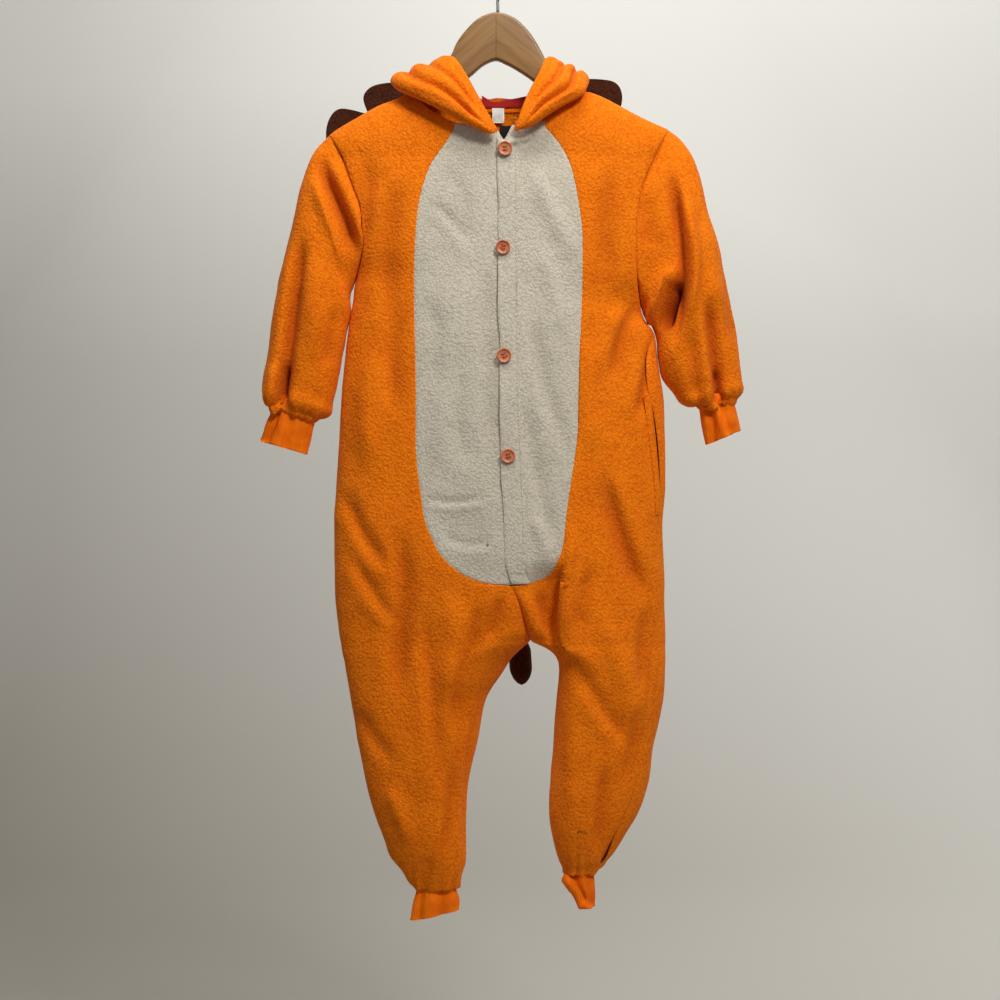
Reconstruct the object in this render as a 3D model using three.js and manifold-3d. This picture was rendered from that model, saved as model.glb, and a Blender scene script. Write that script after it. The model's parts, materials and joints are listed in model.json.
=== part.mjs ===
// Child's lion costume: one-piece fleece suit with hood, mane, tail and cuffs, on a wooden hanger.
// Units mm, +Z up, front faces -Y, origin at the inner top of the hanger's hook.
import * as THREE from 'three';
import { mergeVertices } from 'three/addons/utils/BufferGeometryUtils.js';
import Module from 'manifold-3d';

const FLEECE = 2.5;          // wall of the fleece pieces
const JERSEY = 2.0;          // wall of the cuffs and the pocket bag
const SEAM = 0.3;            // gap between pieces at a seam
const PLACKET_W = 22;        // width of the button band
const PLACKET_LIFT = 3.7;    // the band lies on the under half by this much
const BELLY_END_T = 13.1;    // body row where the belly panel ends
const FOLD_X = 73;           // folded edge of the wearer's left leg beside the crotch
const FOLD_SOFT = 7;         // half width of that fold
const CUFF_LAP = 3;          // cuffs start this far inside the mouth of a sleeve or leg
const BUTTON_D = 16, BUTTON_T = 3.2;
const HANGER_T = 12;         // thickness of the wood
const HOOK_D = 3.7;
const POWER = 0.88;          // roundness of the body's sections
const LOBES = 9;             // mane lobes per side
const LOBE_LEN = 45, MANE_BASE = 13, MANE_DROOP = 10, MANE_T = 5;
const TAIL_D = 24;

const rowsOf = (names, rows) => { const k = names.split(' '); return rows.map((r) => Object.fromEntries(k.map((n, i) => [n, r[i]]))); };
// Body rows: i = inner rail (centre front, then inside leg), s = side rail, close 0 torso .. 1 leg,
// seamIn/seamOut = places of the seams round the section (1 = silhouette), tuck/drop = the crotch fold.
const BODY_A = rowsOf('t ix iz sx sz front back edge close seamIn seamOut tuck drop', [
  [1, 2.2, -211.8, -169.2, -216.2, 31.9, 29.9, 15.0, 0, 0, 1.0, 0, 0],
  [2, 2.2, -242.7, -157.6, -249.3, 35.0, 33.0, 23.0, 0, 0, 1.0, 0, 0],
  [3, 2.2, -277.6, -147.5, -284.7, 36.9, 34.9, 27.0, 0, 0, 1.0, 0, 0],
  [4, 2.2, -315.7, -146.8, -318.7, 39.0, 37.0, 22.0, 0, 0, 1.0, 0, 0],
  [5, 2.7, -356.9, -156.2, -354.2, 41.1, 39.1, 0, 0, 0, 1.0, 0, 0],
  [6, 2.9, -375.3, -158.0, -372.9, 42.0, 40.0, 0, 0, 0, 1.06, 0, 0],
  [7, 3.3, -418.5, -164.8, -414.7, 43.4, 41.4, 0, 0, 0, 1.12, 0, 0],
  [8, 3.3, -467.0, -169.4, -464.2, 45.0, 43.0, 0, 0, 0, 1.12, 0, 0],
  [9, 5.4, -515.5, -172.7, -513.7, 46.4, 44.4, 0, 0, 0, 1.12, 0, 0],
  [10, 7.6, -569.2, -177.1, -568.7, 48.0, 46.0, 0, 0, 0, 1.12, 0, 0],
  [11, 9.7, -617.5, -178.8, -618.2, 49.2, 47.2, 0, 0, 0, 1.12, 0, 0],
  [12, 8.7, -652.9, -179.3, -654.5, 50.0, 48.0, 0, 0, 0, 1.12, 0, 0],
  [13, 14.0, -678.7, -179.3, -680.9, 49.5, 47.5, 0, 0.011, 0, 1.115, 0, 0],
  [14, 23.7, -700.4, -178.2, -702.9, 49.0, 47.0, 0, 0.103, 0, 1.11, 0, 0],
  [15, 29.3, -720.5, -174.9, -722.7, 47.6, 45.6, 0, 0.292, 0, 1.105, 0, 0],
  [16, 33.8, -735.5, -172.7, -738.1, 46.6, 44.6, 0, 0.558, 0, 1.102, 0, 0],
  [17, 36.3, -744.7, -170.5, -749.1, 46.0, 44.0, 0, 1, 0, 1.1, 0, 0],
  [18, 27.5, -753.5, -169.4, -757.9, 45.8, 43.8, 0, 1, 0.015, 1.1, 0, 0],
  [19, 16.5, -764.5, -167.2, -768.9, 45.4, 43.4, 0, 1, 0.034, 1.1, 0, 0],
  [20, 6.6, -779.9, -165.0, -784.3, 45.0, 43.0, 0, 1, 0.06, 1.1, 0, 0],
  [21, -12.1, -810.7, -160.6, -812.9, 44.2, 42.2, 0, 1, 0.08, 1.1, 0, 0],
  [22, -20.9, -854.7, -152.9, -854.7, 43.0, 41.0, 0, 1, 0.08, 1.1, 0, 0],
  [23, -30.8, -898.7, -144.1, -898.7, 40.0, 38.0, 0, 1, 0.08, 1.1, 0, 0],
  [24, -33.6, -933.9, -134.2, -933.9, 36.0, 34.0, 0, 1, 0.08, 1.1, 0, 0],
  [25, -34.1, -962.5, -124.3, -962.5, 31.0, 30.0, 0, 1, 0.08, 1.1, 0, 0],
  [26, -34.1, -984.5, -117.7, -982.3, 25.0, 24.0, 0, 1, 0.08, 1.1, 0, 0],
  [27, -38.5, -1005, -103, -1001, 19.0, 18.0, 0, 1, 0.08, 1.1, 0, 0],
  [28, -40.8, -1016, -92.6, -1017, 14.5, 14.5, 0, 1, 0.08, 1.1, 0, 0],
]);
const BODY_B = rowsOf('t ix iz sx sz front back edge close seamIn seamOut tuck drop', [
  [1, 2.2, -211.8, 172.5, -216.2, 31.9, 29.9, 15.0, 0, 0, 1.0, 0, 0],
  [2, 2.2, -242.7, 157.1, -256.0, 35.0, 33.0, 24.0, 0, 0, 1.0, 0, 0],
  [3, 2.2, -277.6, 151.8, -300.2, 36.9, 34.9, 29.0, 0, 0, 1.0, 0, 0],
  [4, 2.2, -315.7, 152.7, -346.3, 39.0, 37.0, 25.0, 0, 0, 1.0, 0, 0],
  [5, 2.7, -356.9, 160.6, -388.3, 41.1, 39.1, 0, 0, 0, 1.0, 0, 0],
  [6, 2.9, -375.3, 172.7, -408.1, 42.0, 40.0, 0, 0, 0, 0.9, 0, 0],
  [7, 3.3, -418.5, 176.0, -438.9, 43.4, 41.4, 0, 0, 0, 0.76, 0, 0],
  [8, 3.3, -467.0, 182.6, -480.7, 45.0, 43.0, 0, 0, 0, 0.72, 0, 0],
  [9, 5.4, -515.5, 185.4, -524.7, 46.4, 44.4, 0, 0, 0, 0.745, 0, 0],
  [10, 7.6, -569.2, 185.9, -573.1, 48.0, 46.0, 0, 0, 0, 0.79, 0, 0],
  [11, 9.7, -617.5, 182.4, -620.4, 49.2, 47.2, 0, 0, 0, 0.85, 0, 0],
  [12, 8.7, -652.9, 183.4, -654.5, 50.0, 48.0, 0, 0, 0, 0.869, 0, 0],
  [13, 14.0, -678.7, 184.2, -680.9, 49.5, 47.5, 0, 0.011, 0, 0.866, 15, 15],
  [14, 23.7, -700.4, 184.4, -702.9, 49.0, 47.0, 0, 0.103, 0, 0.863, 20, 20],
  [15, 29.3, -720.5, 184.4, -722.7, 47.6, 45.6, 0, 0.292, 0, 0.86, 21, 22],
  [16, 33.8, -735.5, 184.6, -738.1, 46.6, 44.6, 0, 0.558, 0, 0.853, 20, 22],
  [17, 36.3, -744.7, 184.6, -749.1, 46.0, 44.0, 0, 1, 0, 0.85, 16, 20],
  [18, 54.0, -753.5, 184.8, -757.9, 45.8, 43.8, 0, 1, -0.02, 0.846, 8, 10],
  [19, 65.6, -764.5, 185.0, -768.9, 45.4, 43.4, 0, 1, -0.045, 0.841, 0, 0],
  [20, 68.4, -779.9, 184.8, -784.3, 45.0, 43.0, 0, 1, -0.08, 0.825, 0, 0],
  [21, 65.6, -810.7, 182.0, -812.9, 44.2, 42.2, 0, 1, -0.109, 0.79, 0, 0],
  [22, 62.2, -854.7, 174.6, -854.7, 43.0, 41.0, 0, 1, -0.15, 0.777, 0, 0],
  [23, 59.4, -898.7, 167.2, -898.7, 40.0, 38.0, 0, 1, -0.15, 0.762, 0, 0],
  [24, 58.0, -933.9, 154.6, -933.9, 36.0, 34.0, 0, 1, -0.15, 0.75, 0, 0],
  [25, 61.6, -962.5, 137.5, -962.5, 31.0, 30.0, 0, 1, -0.15, 0.78, 0, 0],
  [26, 67.1, -984.5, 125.4, -982.3, 25.0, 24.0, 0, 1, -0.15, 0.84, 0, 0],
  [27, 71.4, -996.0, 116.5, -992.5, 17.5, 17.5, 0, 1, -0.15, 0.872, 0, 0],
  [28, 71.6, -1000.5, 110.6, -1000.0, 15.5, 15.5, 0, 1, -0.15, 0.9, 0, 0],
]);
const BELLY_A = rowsOf('z x', [
  [-187.9, -46.8],
  [-203.0, -55.9],
  [-224.6, -71.0],
  [-246.1, -79.6],
  [-267.6, -85.0],
  [-289.2, -87.7],
  [-310.7, -89.3],
  [-353.8, -90.4],
  [-396.9, -89.9],
  [-439.9, -88.8],
  [-483.0, -88.2],
  [-526.1, -88.2],
  [-569.2, -85.0],
  [-590.7, -81.8],
  [-612.2, -78.5],
  [-633.8, -69.9],
  [-649.9, -61.3],
  [-662.9, -48.4],
  [-672.5, -34.4],
  [-679.0, -18.2],
  [-682.2, -13.9],
]);
const BELLY_B = rowsOf('z x', [
  [-185.8, 52.8],
  [-203.0, 67.4],
  [-224.6, 79.2],
  [-246.1, 85.1],
  [-267.6, 88.9],
  [-289.2, 92.1],
  [-310.7, 93.2],
  [-353.8, 93.2],
  [-396.9, 91.6],
  [-439.9, 90.0],
  [-483.0, 88.9],
  [-526.1, 87.3],
  [-569.2, 80.8],
  [-590.7, 77.6],
  [-612.2, 74.9],
  [-633.8, 72.8],
  [-646.7, 70.1],
  [-657.5, 61.5],
  [-668.2, 55.0],
  [-675.8, 42.1],
  [-682.2, 41.0],
]);
const SLEEVE_A = rowsOf('k ox oz ux uz half', [
  [0, -184.8, -190.3, -156.2, -354.2, 0],
  [1, -203.5, -213.4, -161.8, -366.3, 25],
  [2, -214.5, -243.1, -161.9, -383.9, 29],
  [3, -222.2, -276.1, -165.8, -403.7, 31],
  [4, -228.8, -304.7, -168.2, -421.3, 31],
  [5, -234.3, -328.9, -170.6, -436.7, 31],
  [6, -239.8, -354.2, -173.4, -452.1, 30],
  [7, -244.2, -381.7, -176.2, -465.3, 29],
  [8, -248.6, -409.2, -179.4, -477.4, 28],
  [9, -253.0, -434.5, -183.0, -488.4, 26],
  [10, -257.4, -458.7, -186.6, -496.1, 24],
  [11, -253.0, -475.2, -191.4, -499.4, 21],
  [12, -245.3, -484.0, -196.3, -500.5, 18],
]);
const SLEEVE_B = rowsOf('k ox oz ux uz half', [
  [0, 189.2, -183.7, 160.6, -388.3, 0],
  [1, 207.9, -202.4, 172.9, -401.6, 25],
  [2, 220.0, -228.8, 176.8, -414.2, 29],
  [3, 228.8, -264.0, 178.4, -426.6, 31],
  [4, 236.5, -295.9, 179.4, -437.4, 31],
  [5, 244.2, -324.5, 180.4, -447.4, 31],
  [6, 251.4, -352.0, 182.6, -456.0, 30],
  [7, 257.4, -379.5, 187.0, -463.4, 29],
  [8, 262.4, -407.0, 192.6, -469.8, 28],
  [9, 266.2, -433.4, 199.0, -476.4, 26],
  [10, 269.0, -458.7, 206.2, -482.6, 24],
  [11, 267.9, -474.1, 213.4, -486.2, 21],
  [12, 262.9, -480.7, 219.5, -486.0, 18],
]);
const HOOD_A = rowsOf('a nx nz ny ex ez ey cx cz cy rise', [
  [0, -11.5, -196.8, -40, 1, -190.5, -42, -5.5, -195.8, -46, 0],
  [1, -20.4, -190.4, -38, -9.6, -172.4, -40, -20.3, -185.3, -50, 0],
  [2, -44.3, -177.9, -35, -22.7, -148.4, -34, -40.7, -170.3, -50, 0],
  [3, -68.4, -160.3, -24, -35.7, -124.3, -28, -70.9, -154.4, -46, 0],
  [4, -86.3, -147.0, -13, -44.7, -108.6, -17, -100.5, -139.8, -34, 0],
  [4.5, -91.0, -143.2, -6, -49.2, -104.7, -12, -112.2, -130.0, -17, 0],
  [5, -95.7, -140.8, 0, -57.2, -103.4, 0, -113.0, -124.0, -1, 0.15],
  [5.5, -94.1, -139.2, 12, -55.5, -103.9, 16, -101.0, -124.5, 18, 0.5],
  [6, -92, -150, 28.5, -54, -122, 34, -103, -166, 42, 0.8],
  [7, -76, -154, 30, -62, -150, 60, -148, -224, 50, 1],
  [8, -54, -156.5, 29, -58, -180, 82, -138, -290, 56, 1],
  [9, -27, -157.2, 28, -36, -200, 92, -92, -345, 60, 1],
  [10, -0.2, -157.5, 27.6, -0.2, -210, 95, -0.2, -372, 62, 1],
]);
const HOOD_B = rowsOf('a nx nz ny ex ez ey cx cz cy rise', [
  [0, 30, -191.8, -40, 17.8, -189.4, -42, 24, -192.4, -46, 0],
  [1, 41, -186.2, -38, 25, -172.4, -40, 34.5, -182.5, -50, 0],
  [2, 53.5, -175.5, -34, 35, -148.4, -34, 49, -168.3, -50, 0],
  [3, 70, -160.3, -24, 46, -124.3, -28, 70.5, -154.1, -45, 0],
  [4, 87.4, -147.0, -13, 51, -110.8, -17, 89.8, -140.7, -33, 0],
  [4.5, 92.1, -141.1, -6, 53.6, -106.9, -12, 92.0, -128.5, -18, 0],
  [5, 97.9, -137.5, 0, 60.5, -104.5, 0, 94.5, -120.4, -2, 0.15],
  [5.5, 97.4, -139.2, 12, 58.7, -103.9, 16, 92.0, -124.5, 18, 0.5],
  [6, 92, -150, 28.5, 54, -122, 34, 98, -166, 42, 0.8],
  [7, 76, -154, 30, 62, -150, 60, 148, -224, 50, 1],
  [8, 54, -156.5, 29, 58, -180, 82, 138, -290, 56, 1],
  [9, 27, -157.2, 28, 36, -200, 92, 92, -345, 60, 1],
  [10, 0.2, -157.5, 27.6, 0.2, -210, 95, 0.2, -372, 62, 1],
]);
// Neck and shoulder edge: f = share of the way from the middle to the shoulder point.
const NECK_FRONT_A = rowsOf('f z y', [[0, -186.5, -30], [.13, -183.5, -29.5], [.27, -179, -27], [.40, -165, -18], [.53, -144.5, 0], [.62, -151, 0], [.71, -157.5, 0], [.83, -170, 0], [.95, -183, 0], [1, -189.5, 0]]);
const NECK_FRONT_B = rowsOf('f z y', [[0, -186.5, -30], [.13, -183, -29.5], [.27, -177, -26], [.38, -160, -17], [.50, -141.5, 0], [.60, -147, 0], [.71, -157.5, 0], [.83, -169.5, 0], [.94, -179, 0], [1, -183.7, 0]]);
const NECK_BACK_A = rowsOf('f z y', [[0, -158, 24], [.15, -157, 24], [.30, -154, 21], [.42, -149, 12], [.53, -144.5, 0], [.62, -151, 0], [.71, -157.5, 0], [.83, -170, 0], [.95, -183, 0], [1, -189.5, 0]]);
const NECK_BACK_B = rowsOf('f z y', [[0, -158, 24], [.15, -157, 24], [.30, -153, 21], [.40, -147, 12], [.50, -141.5, 0], [.60, -147, 0], [.71, -157.5, 0], [.83, -169.5, 0], [.94, -179, 0], [1, -183.7, 0]]);

const clamp = (v, a = 0, b = 1) => Math.min(b, Math.max(a, v));
const mix = (a, b, s) => a + (b - a) * s;
const smooth = (a, b, v) => { const s = clamp((v - a) / (b - a)); return s * s * (3 - 2 * s); };
const V = (x, y, z) => new THREE.Vector3(x, y, z);
const at = (rows, key, v) => {              // straight interpolation over a table's first key
  const up = rows[0][key] < rows[rows.length - 1][key];
  let i = 0; while (i < rows.length - 2 && (up ? v > rows[i + 1][key] : v < rows[i + 1][key])) i++;
  const s = clamp((v - rows[i][key]) / (rows[i + 1][key] - rows[i][key]));
  const o = {}; for (const n in rows[i]) o[n] = mix(rows[i][n], rows[i + 1][n], s); return o;
};
const SIDE = {
  a: { sign: -1, rows: BODY_A, neckF: NECK_FRONT_A, neckB: NECK_BACK_A, belly: BELLY_A, tip: -184.8 },
  b: { sign: 1, rows: BODY_B, neckF: NECK_FRONT_B, neckB: NECK_BACK_B, belly: BELLY_B, tip: 189.2 },
};
const legShare = (t) => smooth(11, 17, t);   // how far the spacing round a section is that of a closed leg
const INNER_ROLL = [0.2, 0.5];                // share of a leg's width taken by its rounded inside, at the crotch and lower down
// One point of the body's outer face. w: 0 middle front .. 1 silhouette .. 2 middle back.
function body(S, t, w, lift = 0) {
  let face = -1, q = w;
  if (w < 0) { face = 1; q = -w; } else if (w > 2) { q = w - 2; } else if (w > 1) { face = 1; q = 2 - w; }
  const r = at(S.rows, 't', Math.max(t, 1));
  const depth = face < 0 ? r.front : r.back;
  const fa = Math.sin(Math.PI * q / 2) ** POWER, fb = (1 - Math.cos(Math.PI * q)) / 2;
  const f = mix(fa, fb, legShare(t));
  const x0 = mix(r.ix, r.sx, f), z0 = mix(r.iz, r.sz, f), roll = mix(INNER_ROLL[0], INNER_ROLL[1], smooth(16, 23, t)) * Math.sqrt(r.close);
  const side = Math.max(0, 1 - Math.min(1, f) ** (2 / POWER)) ** (POWER / 2), seam = 1 - r.close;
  const e = f < roll ? Math.sqrt(Math.max(0, 1 - (1 - f / roll) ** 2)) : 1;
  let x = x0, z = z0, y = r.edge + (depth - r.edge) * side;
  if (r.close > 0) y = depth * (seam + (Math.max(side, seam) - seam) * e) * (side < seam ? side / seam : 1);
  if (t < 1) {                                // shoulder yoke: up to the neck and shoulder edge
    const e = at(face < 0 ? S.neckF : S.neckB, 'f', fa), k = clamp(t);
    const xe = mix(2.2, S.tip, fa);
    x = mix(xe, x, k); z = mix(e.z, z, k); y = Math.abs(e.y) + (y - Math.abs(e.y)) * Math.sqrt(1 - (1 - k) ** 2);
  }
  if (face < 0 && r.tuck > 0 && x > r.ix) {   // crotch cloth runs behind the folded edge of the leg
    const p = (x - FOLD_X) / FOLD_SOFT;
    y -= r.drop * smooth(0, 1, (x - r.ix) / (FOLD_X - r.ix - FOLD_SOFT)) * (0.5 - 0.5 * Math.tanh(1.5 * p));
    x -= r.tuck * 1.3 * p * Math.exp(-p * p * 0.9);
  }
  return V(x, face * (y + lift), z);
}
// Inward direction of the body's wall at (t, w): the same for every piece that meets there.
function inwardAt(S, t, w) {
  const r = at(S.rows, 't', Math.max(t, 1)), h = 0.012;
  let lo = w - h, hi = w + h;
  if (t < 17) { if (w < 1) lo = Math.max(lo, 0.0001); else hi = Math.min(hi, 1.9999); }
  if (t < 5) { if (w <= 1) hi = Math.min(hi, 1); else lo = Math.max(lo, 1.0001); }
  const dw = body(S, t, hi).sub(body(S, t, lo)), dt = body(S, Math.min(t + .04, 28), w).sub(body(S, Math.max(t - .04, 0), w));
  return dw.cross(dt).normalize().multiplyScalar(S === SIDE.a ? -1 : 1);
}
// place w on row t where the front reaches the x of the belly's edge (or any x given)
function wAtX(S, t, xOf) {
  let lo = 0, hi = 1;
  for (let i = 0; i < 26; i++) {
    const m = (lo + hi) / 2, p = body(S, t, m), x = typeof xOf === 'number' ? xOf : at(xOf, 'z', p.z).x;
    if (S.sign * (p.x - x) < 0) lo = m; else hi = m;
  }
  return (lo + hi) / 2;
}

// ---- solids ----
const group = new THREE.Group();
function add(name, geo, color, roughness = 0.95, metalness = 0) {
  const m = new THREE.Mesh(geo, new THREE.MeshStandardMaterial({ color, roughness, metalness }));
  m.name = name; group.add(m); return m;
}
// A cloth piece from a grid P[i][j] of its outer face. opt.out = point the face looks away from, or
// a function (i,j) giving the inward direction at rims; loop: columns close on themselves; pole: last row is one point.
function cloth(P, wall, opt = {}) {
  const n = P.length, m = P[0].length, loop = !!opt.loop, pole = !!opt.pole;
  const nrm = [];
  for (let i = 0; i < n; i++) { nrm.push([]); for (let j = 0; j < m; j++) {
    const jp = loop ? (j + 1) % m : Math.min(j + 1, m - 1), jm = loop ? (j + m - 1) % m : Math.max(j - 1, 0);
    const ip = Math.min(i + 1, n - 1), im = Math.max(i - 1, 0);
    let du = P[i][jp].clone().sub(P[i][jm]); const dv = P[ip][j].clone().sub(P[im][j]);
    if (pole && i === n - 1) { nrm[i].push(null); continue; }
    nrm[i].push(du.cross(dv).normalize());
  } }
  const flip = opt.flip ? -1 : 1;
  if (pole) { const c = V(0, 0, 0); for (let j = 0; j < m; j++) c.add(nrm[n - 2][j]); const d = P[n - 1][0].clone().sub(P[n - 2].reduce((a, p) => a.add(p), V(0, 0, 0)).divideScalar(m)).normalize();
    for (let j = 0; j < m; j++) nrm[n - 1][j] = d.clone().multiplyScalar(flip); }
  const inner = P.map((row, i) => row.map((p, j) => {
    let d = nrm[i][j].clone().multiplyScalar(-flip);
    if (opt.inward) { const o = opt.inward(i, j, d); if (o) d = o; }
    return p.clone().addScaledVector(d, typeof wall === 'function' ? wall(i, j) : wall);
  }));
  const pos = [], idx = [];
  const id = (k, i, j) => (k * n + i) * m + (loop ? j % m : j);
  for (const g of [P, inner]) for (const row of g) for (const p of row) pos.push(p.x, p.y, p.z);
  const tri = (a, b, c) => { if (a !== b && b !== c && a !== c) flip > 0 ? idx.push(a, b, c) : idx.push(a, c, b); };
  const quad = (a, b, c, d) => { tri(a, b, c); tri(a, c, d); };
  const mm = loop ? m : m - 1;
  for (let i = 0; i < n - 1; i++) for (let j = 0; j < mm; j++) {
    quad(id(0, i, j), id(0, i, j + 1), id(0, i + 1, j + 1), id(0, i + 1, j));
    quad(id(1, i, j), id(1, i + 1, j), id(1, i + 1, j + 1), id(1, i, j + 1));
  }
  for (let j = 0; j < mm; j++) {
    quad(id(1, 0, j), id(1, 0, j + 1), id(0, 0, j + 1), id(0, 0, j));
    if (!pole) quad(id(0, n - 1, j), id(0, n - 1, j + 1), id(1, n - 1, j + 1), id(1, n - 1, j));
  }
  if (!loop) for (let i = 0; i < n - 1; i++) {
    quad(id(0, i, 0), id(0, i + 1, 0), id(1, i + 1, 0), id(1, i, 0));
    quad(id(0, i, m - 1), id(1, i, m - 1), id(1, i + 1, m - 1), id(0, i + 1, m - 1));
  }
  return weld(pos, idx);
}
function weld(pos, idx) {
  let g = new THREE.BufferGeometry();
  g.setAttribute('position', new THREE.Float32BufferAttribute(pos, 3)); g.setIndex(idx);
  g = mergeVertices(g, 2e-3);
  const ix = g.getIndex().array, keep = [];
  for (let i = 0; i < ix.length; i += 3) if (ix[i] !== ix[i + 1] && ix[i + 1] !== ix[i + 2] && ix[i] !== ix[i + 2]) keep.push(ix[i], ix[i + 1], ix[i + 2]);
  g.setIndex(keep);
  // outward faces: signed volume must be positive
  const p = g.getAttribute('position'); let v = 0; const A = V(), B = V(), C = V();
  for (let i = 0; i < keep.length; i += 3) { A.fromBufferAttribute(p, keep[i]); B.fromBufferAttribute(p, keep[i + 1]); C.fromBufferAttribute(p, keep[i + 2]); v += A.dot(B.cross(C)); }
  if (v < 0) { for (let i = 0; i < keep.length; i += 3) { const k = keep[i + 1]; keep[i + 1] = keep[i + 2]; keep[i + 2] = k; } g.setIndex(keep); }
  g.computeVertexNormals(); return g;
}
const ORANGE = 0xe07818, CUFF = 0xe56a14, CREAM = 0xd8d8cc, BROWN = 0x3a1e10, RED = 0x8e1c1c, SALMON = 0xcc8466;
const down = V(0, 0, -1);

// ---- fronts, backs, belly ----
const ROWS = [0, .12, .3, .6, 1, 2, 3, 4, 5, 6, 7, 8, 9, 10, 11, 12, 12.5, 12.8, 13.02, BELLY_END_T, 13.135, 14, 15, 16, 17, 18, 19, 20, 21.5, 23, 24.5, 26, 27, 28];
const BELLY_ROWS = ROWS.filter((t) => t <= BELLY_END_T);
const centreX = (t) => at(SIDE.a.rows, 't', Math.max(t, 1)).ix;
const shoulderRim = (t, w) => (t === 0 ? (i, d) => down.clone() : null);
function frontGrid(S) {
  const cols = S === SIDE.a ? 7 : 12;
  return ROWS.map((t) => {
    const r = at(S.rows, 't', Math.max(t, 1));
    let w0 = r.seamIn, w1 = r.seamOut;
    if (t <= BELLY_END_T) { w0 = wAtX(S, t, S.belly); if (S === SIDE.b) w0 = Math.max(w0, wAtX(S, t, centreX(t) + PLACKET_W + SEAM)); }
    const g0 = t <= BELLY_END_T ? SEAM * (t > 12.9 ? 1.2 : .5) / 100 : SEAM / 2 / 70;
    const row = [];
    const even = (j) => mix(w0 + g0, w1 - SEAM / 2 / 90, j / (cols - 1));
    const inFold = smooth(11.6, 13, t) * (1 - smooth(18, 19.5, t));
    const FOLD_P = [-2.1, -1.25, -.75, -.3, .3, .75, 1.25, 2.1];
    for (let j = 0; j < cols; j++) {
      let w = even(j);
      if (S === SIDE.b && inFold > 0) {
        let wf = even(j);
        if (j >= 1 && j <= 8) { const f = (FOLD_X + FOLD_SOFT * FOLD_P[j - 1] - r.ix) / (r.sx - r.ix); wf = wOfF(t, clamp(f, .004, 1)); wf = Math.max(wf, w0 + g0 + .004 * j); }
        if (j > 8) wf = mix(wOfF(t, clamp((FOLD_X + FOLD_SOFT * 2.1 - r.ix) / (r.sx - r.ix))), w1 - SEAM / 2 / 90, (j - 8) / (cols - 9));
        w = mix(w, wf, inFold);
      }
      const p = body(S, t, w); p.w = w; row.push(p);
    }
    return row;
  });
}
function wOfF(t, f) { let lo = 0, hi = 1; for (let i = 0; i < 24; i++) { const q = (lo + hi) / 2; const fa = Math.sin(Math.PI * q / 2) ** POWER, fb = (1 - Math.cos(Math.PI * q)) / 2; if (mix(fa, fb, legShare(t)) < f) lo = q; else hi = q; } return (lo + hi) / 2; }
const mouth = (t) => Math.max(0, Math.sin(Math.PI * clamp((t - 7.9) / 2.8)));   // the pocket's mouth at the wearer's left side
function backGrid(S) {
  const cols = 8;
  return ROWS.map((t) => {
    const r = at(S.rows, 't', Math.max(t, 1));
    const open = S === SIDE.b && t > 7.9 && t < 10.7 ? 0.055 * mouth(t) ** .6 : 0;
    const w0 = t < 5 ? 1.0001 : Math.max(r.seamOut + SEAM / 2 / 90 + open, 0), w1 = 2 + r.seamIn - SEAM / 2 / 70;
    return Array.from({ length: cols }, (_, j) => { const w = mix(w0, w1, j / (cols - 1)), p = body(S, t, w); p.w = w; return p; });
  });
}
for (const [k, S] of Object.entries(SIDE)) {
  const F = frontGrid(S), B = backGrid(S);
  for (const p of F[0]) p.y = Math.min(p.y, -SEAM / 2); for (const p of B[0]) p.y = Math.max(p.y, SEAM / 2);
  const rim = (G) => (i, j) => (i === 0 ? V(0, Math.abs(G[0][j].y) < 2 ? 0 : -.2 * Math.sign(G[0][j].y), -1).normalize() : inwardAt(S, ROWS[i], G[i][j].w));
  add('front_' + k, cloth(F, FLEECE, { flip: k === 'b', inward: rim(F) }), ORANGE);
  add('back_' + k, cloth(B, FLEECE, { flip: k === 'b', inward: rim(B) }), ORANGE);
}
// belly halves: across from the panel's edge to the button band
function acrossX(t, x) { const c = centreX(t), S = x < c ? SIDE.a : SIDE.b; return body(S, t, wAtX(S, t, x)); }
const bellyUnder = BELLY_ROWS.map((t) => {
  const x0 = body(SIDE.a, t, wAtX(SIDE.a, t, BELLY_A)).x + SEAM / 2, x1 = centreX(t) + PLACKET_W - 2;
  return Array.from({ length: 6 }, (_, j) => acrossX(t, mix(x0, x1, j / 5)));
});
add('belly_under', cloth(bellyUnder, FLEECE, { flip: true, inward: (i) => (i === 0 ? V(0, .25, -1).normalize() : null) }), CREAM);
const overRows = BELLY_ROWS.filter((t) => t <= 12.8);
const bellyOver = overRows.map((t) => {
  const x1 = body(SIDE.b, t, wAtX(SIDE.b, t, BELLY_B)).x - SEAM / 2, x0 = centreX(t) + PLACKET_W + SEAM;
  return Array.from({ length: 5 }, (_, j) => acrossX(t, mix(x0, Math.max(x1, x0 + 4), j / 4)));
});
add('belly_over', cloth(bellyOver, FLEECE, { flip: true, inward: (i) => (i === 0 ? V(0, .25, -1).normalize() : null) }), CREAM);
const band = BELLY_ROWS.map((t) => [0, .5, 1].map((s) => { const p = acrossX(t, centreX(t) + PLACKET_W * s); p.y -= PLACKET_LIFT; return p; }));
add('placket_band', cloth(band, 3.0, { inward: () => V(0, 1, 0) }), CREAM);
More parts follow.
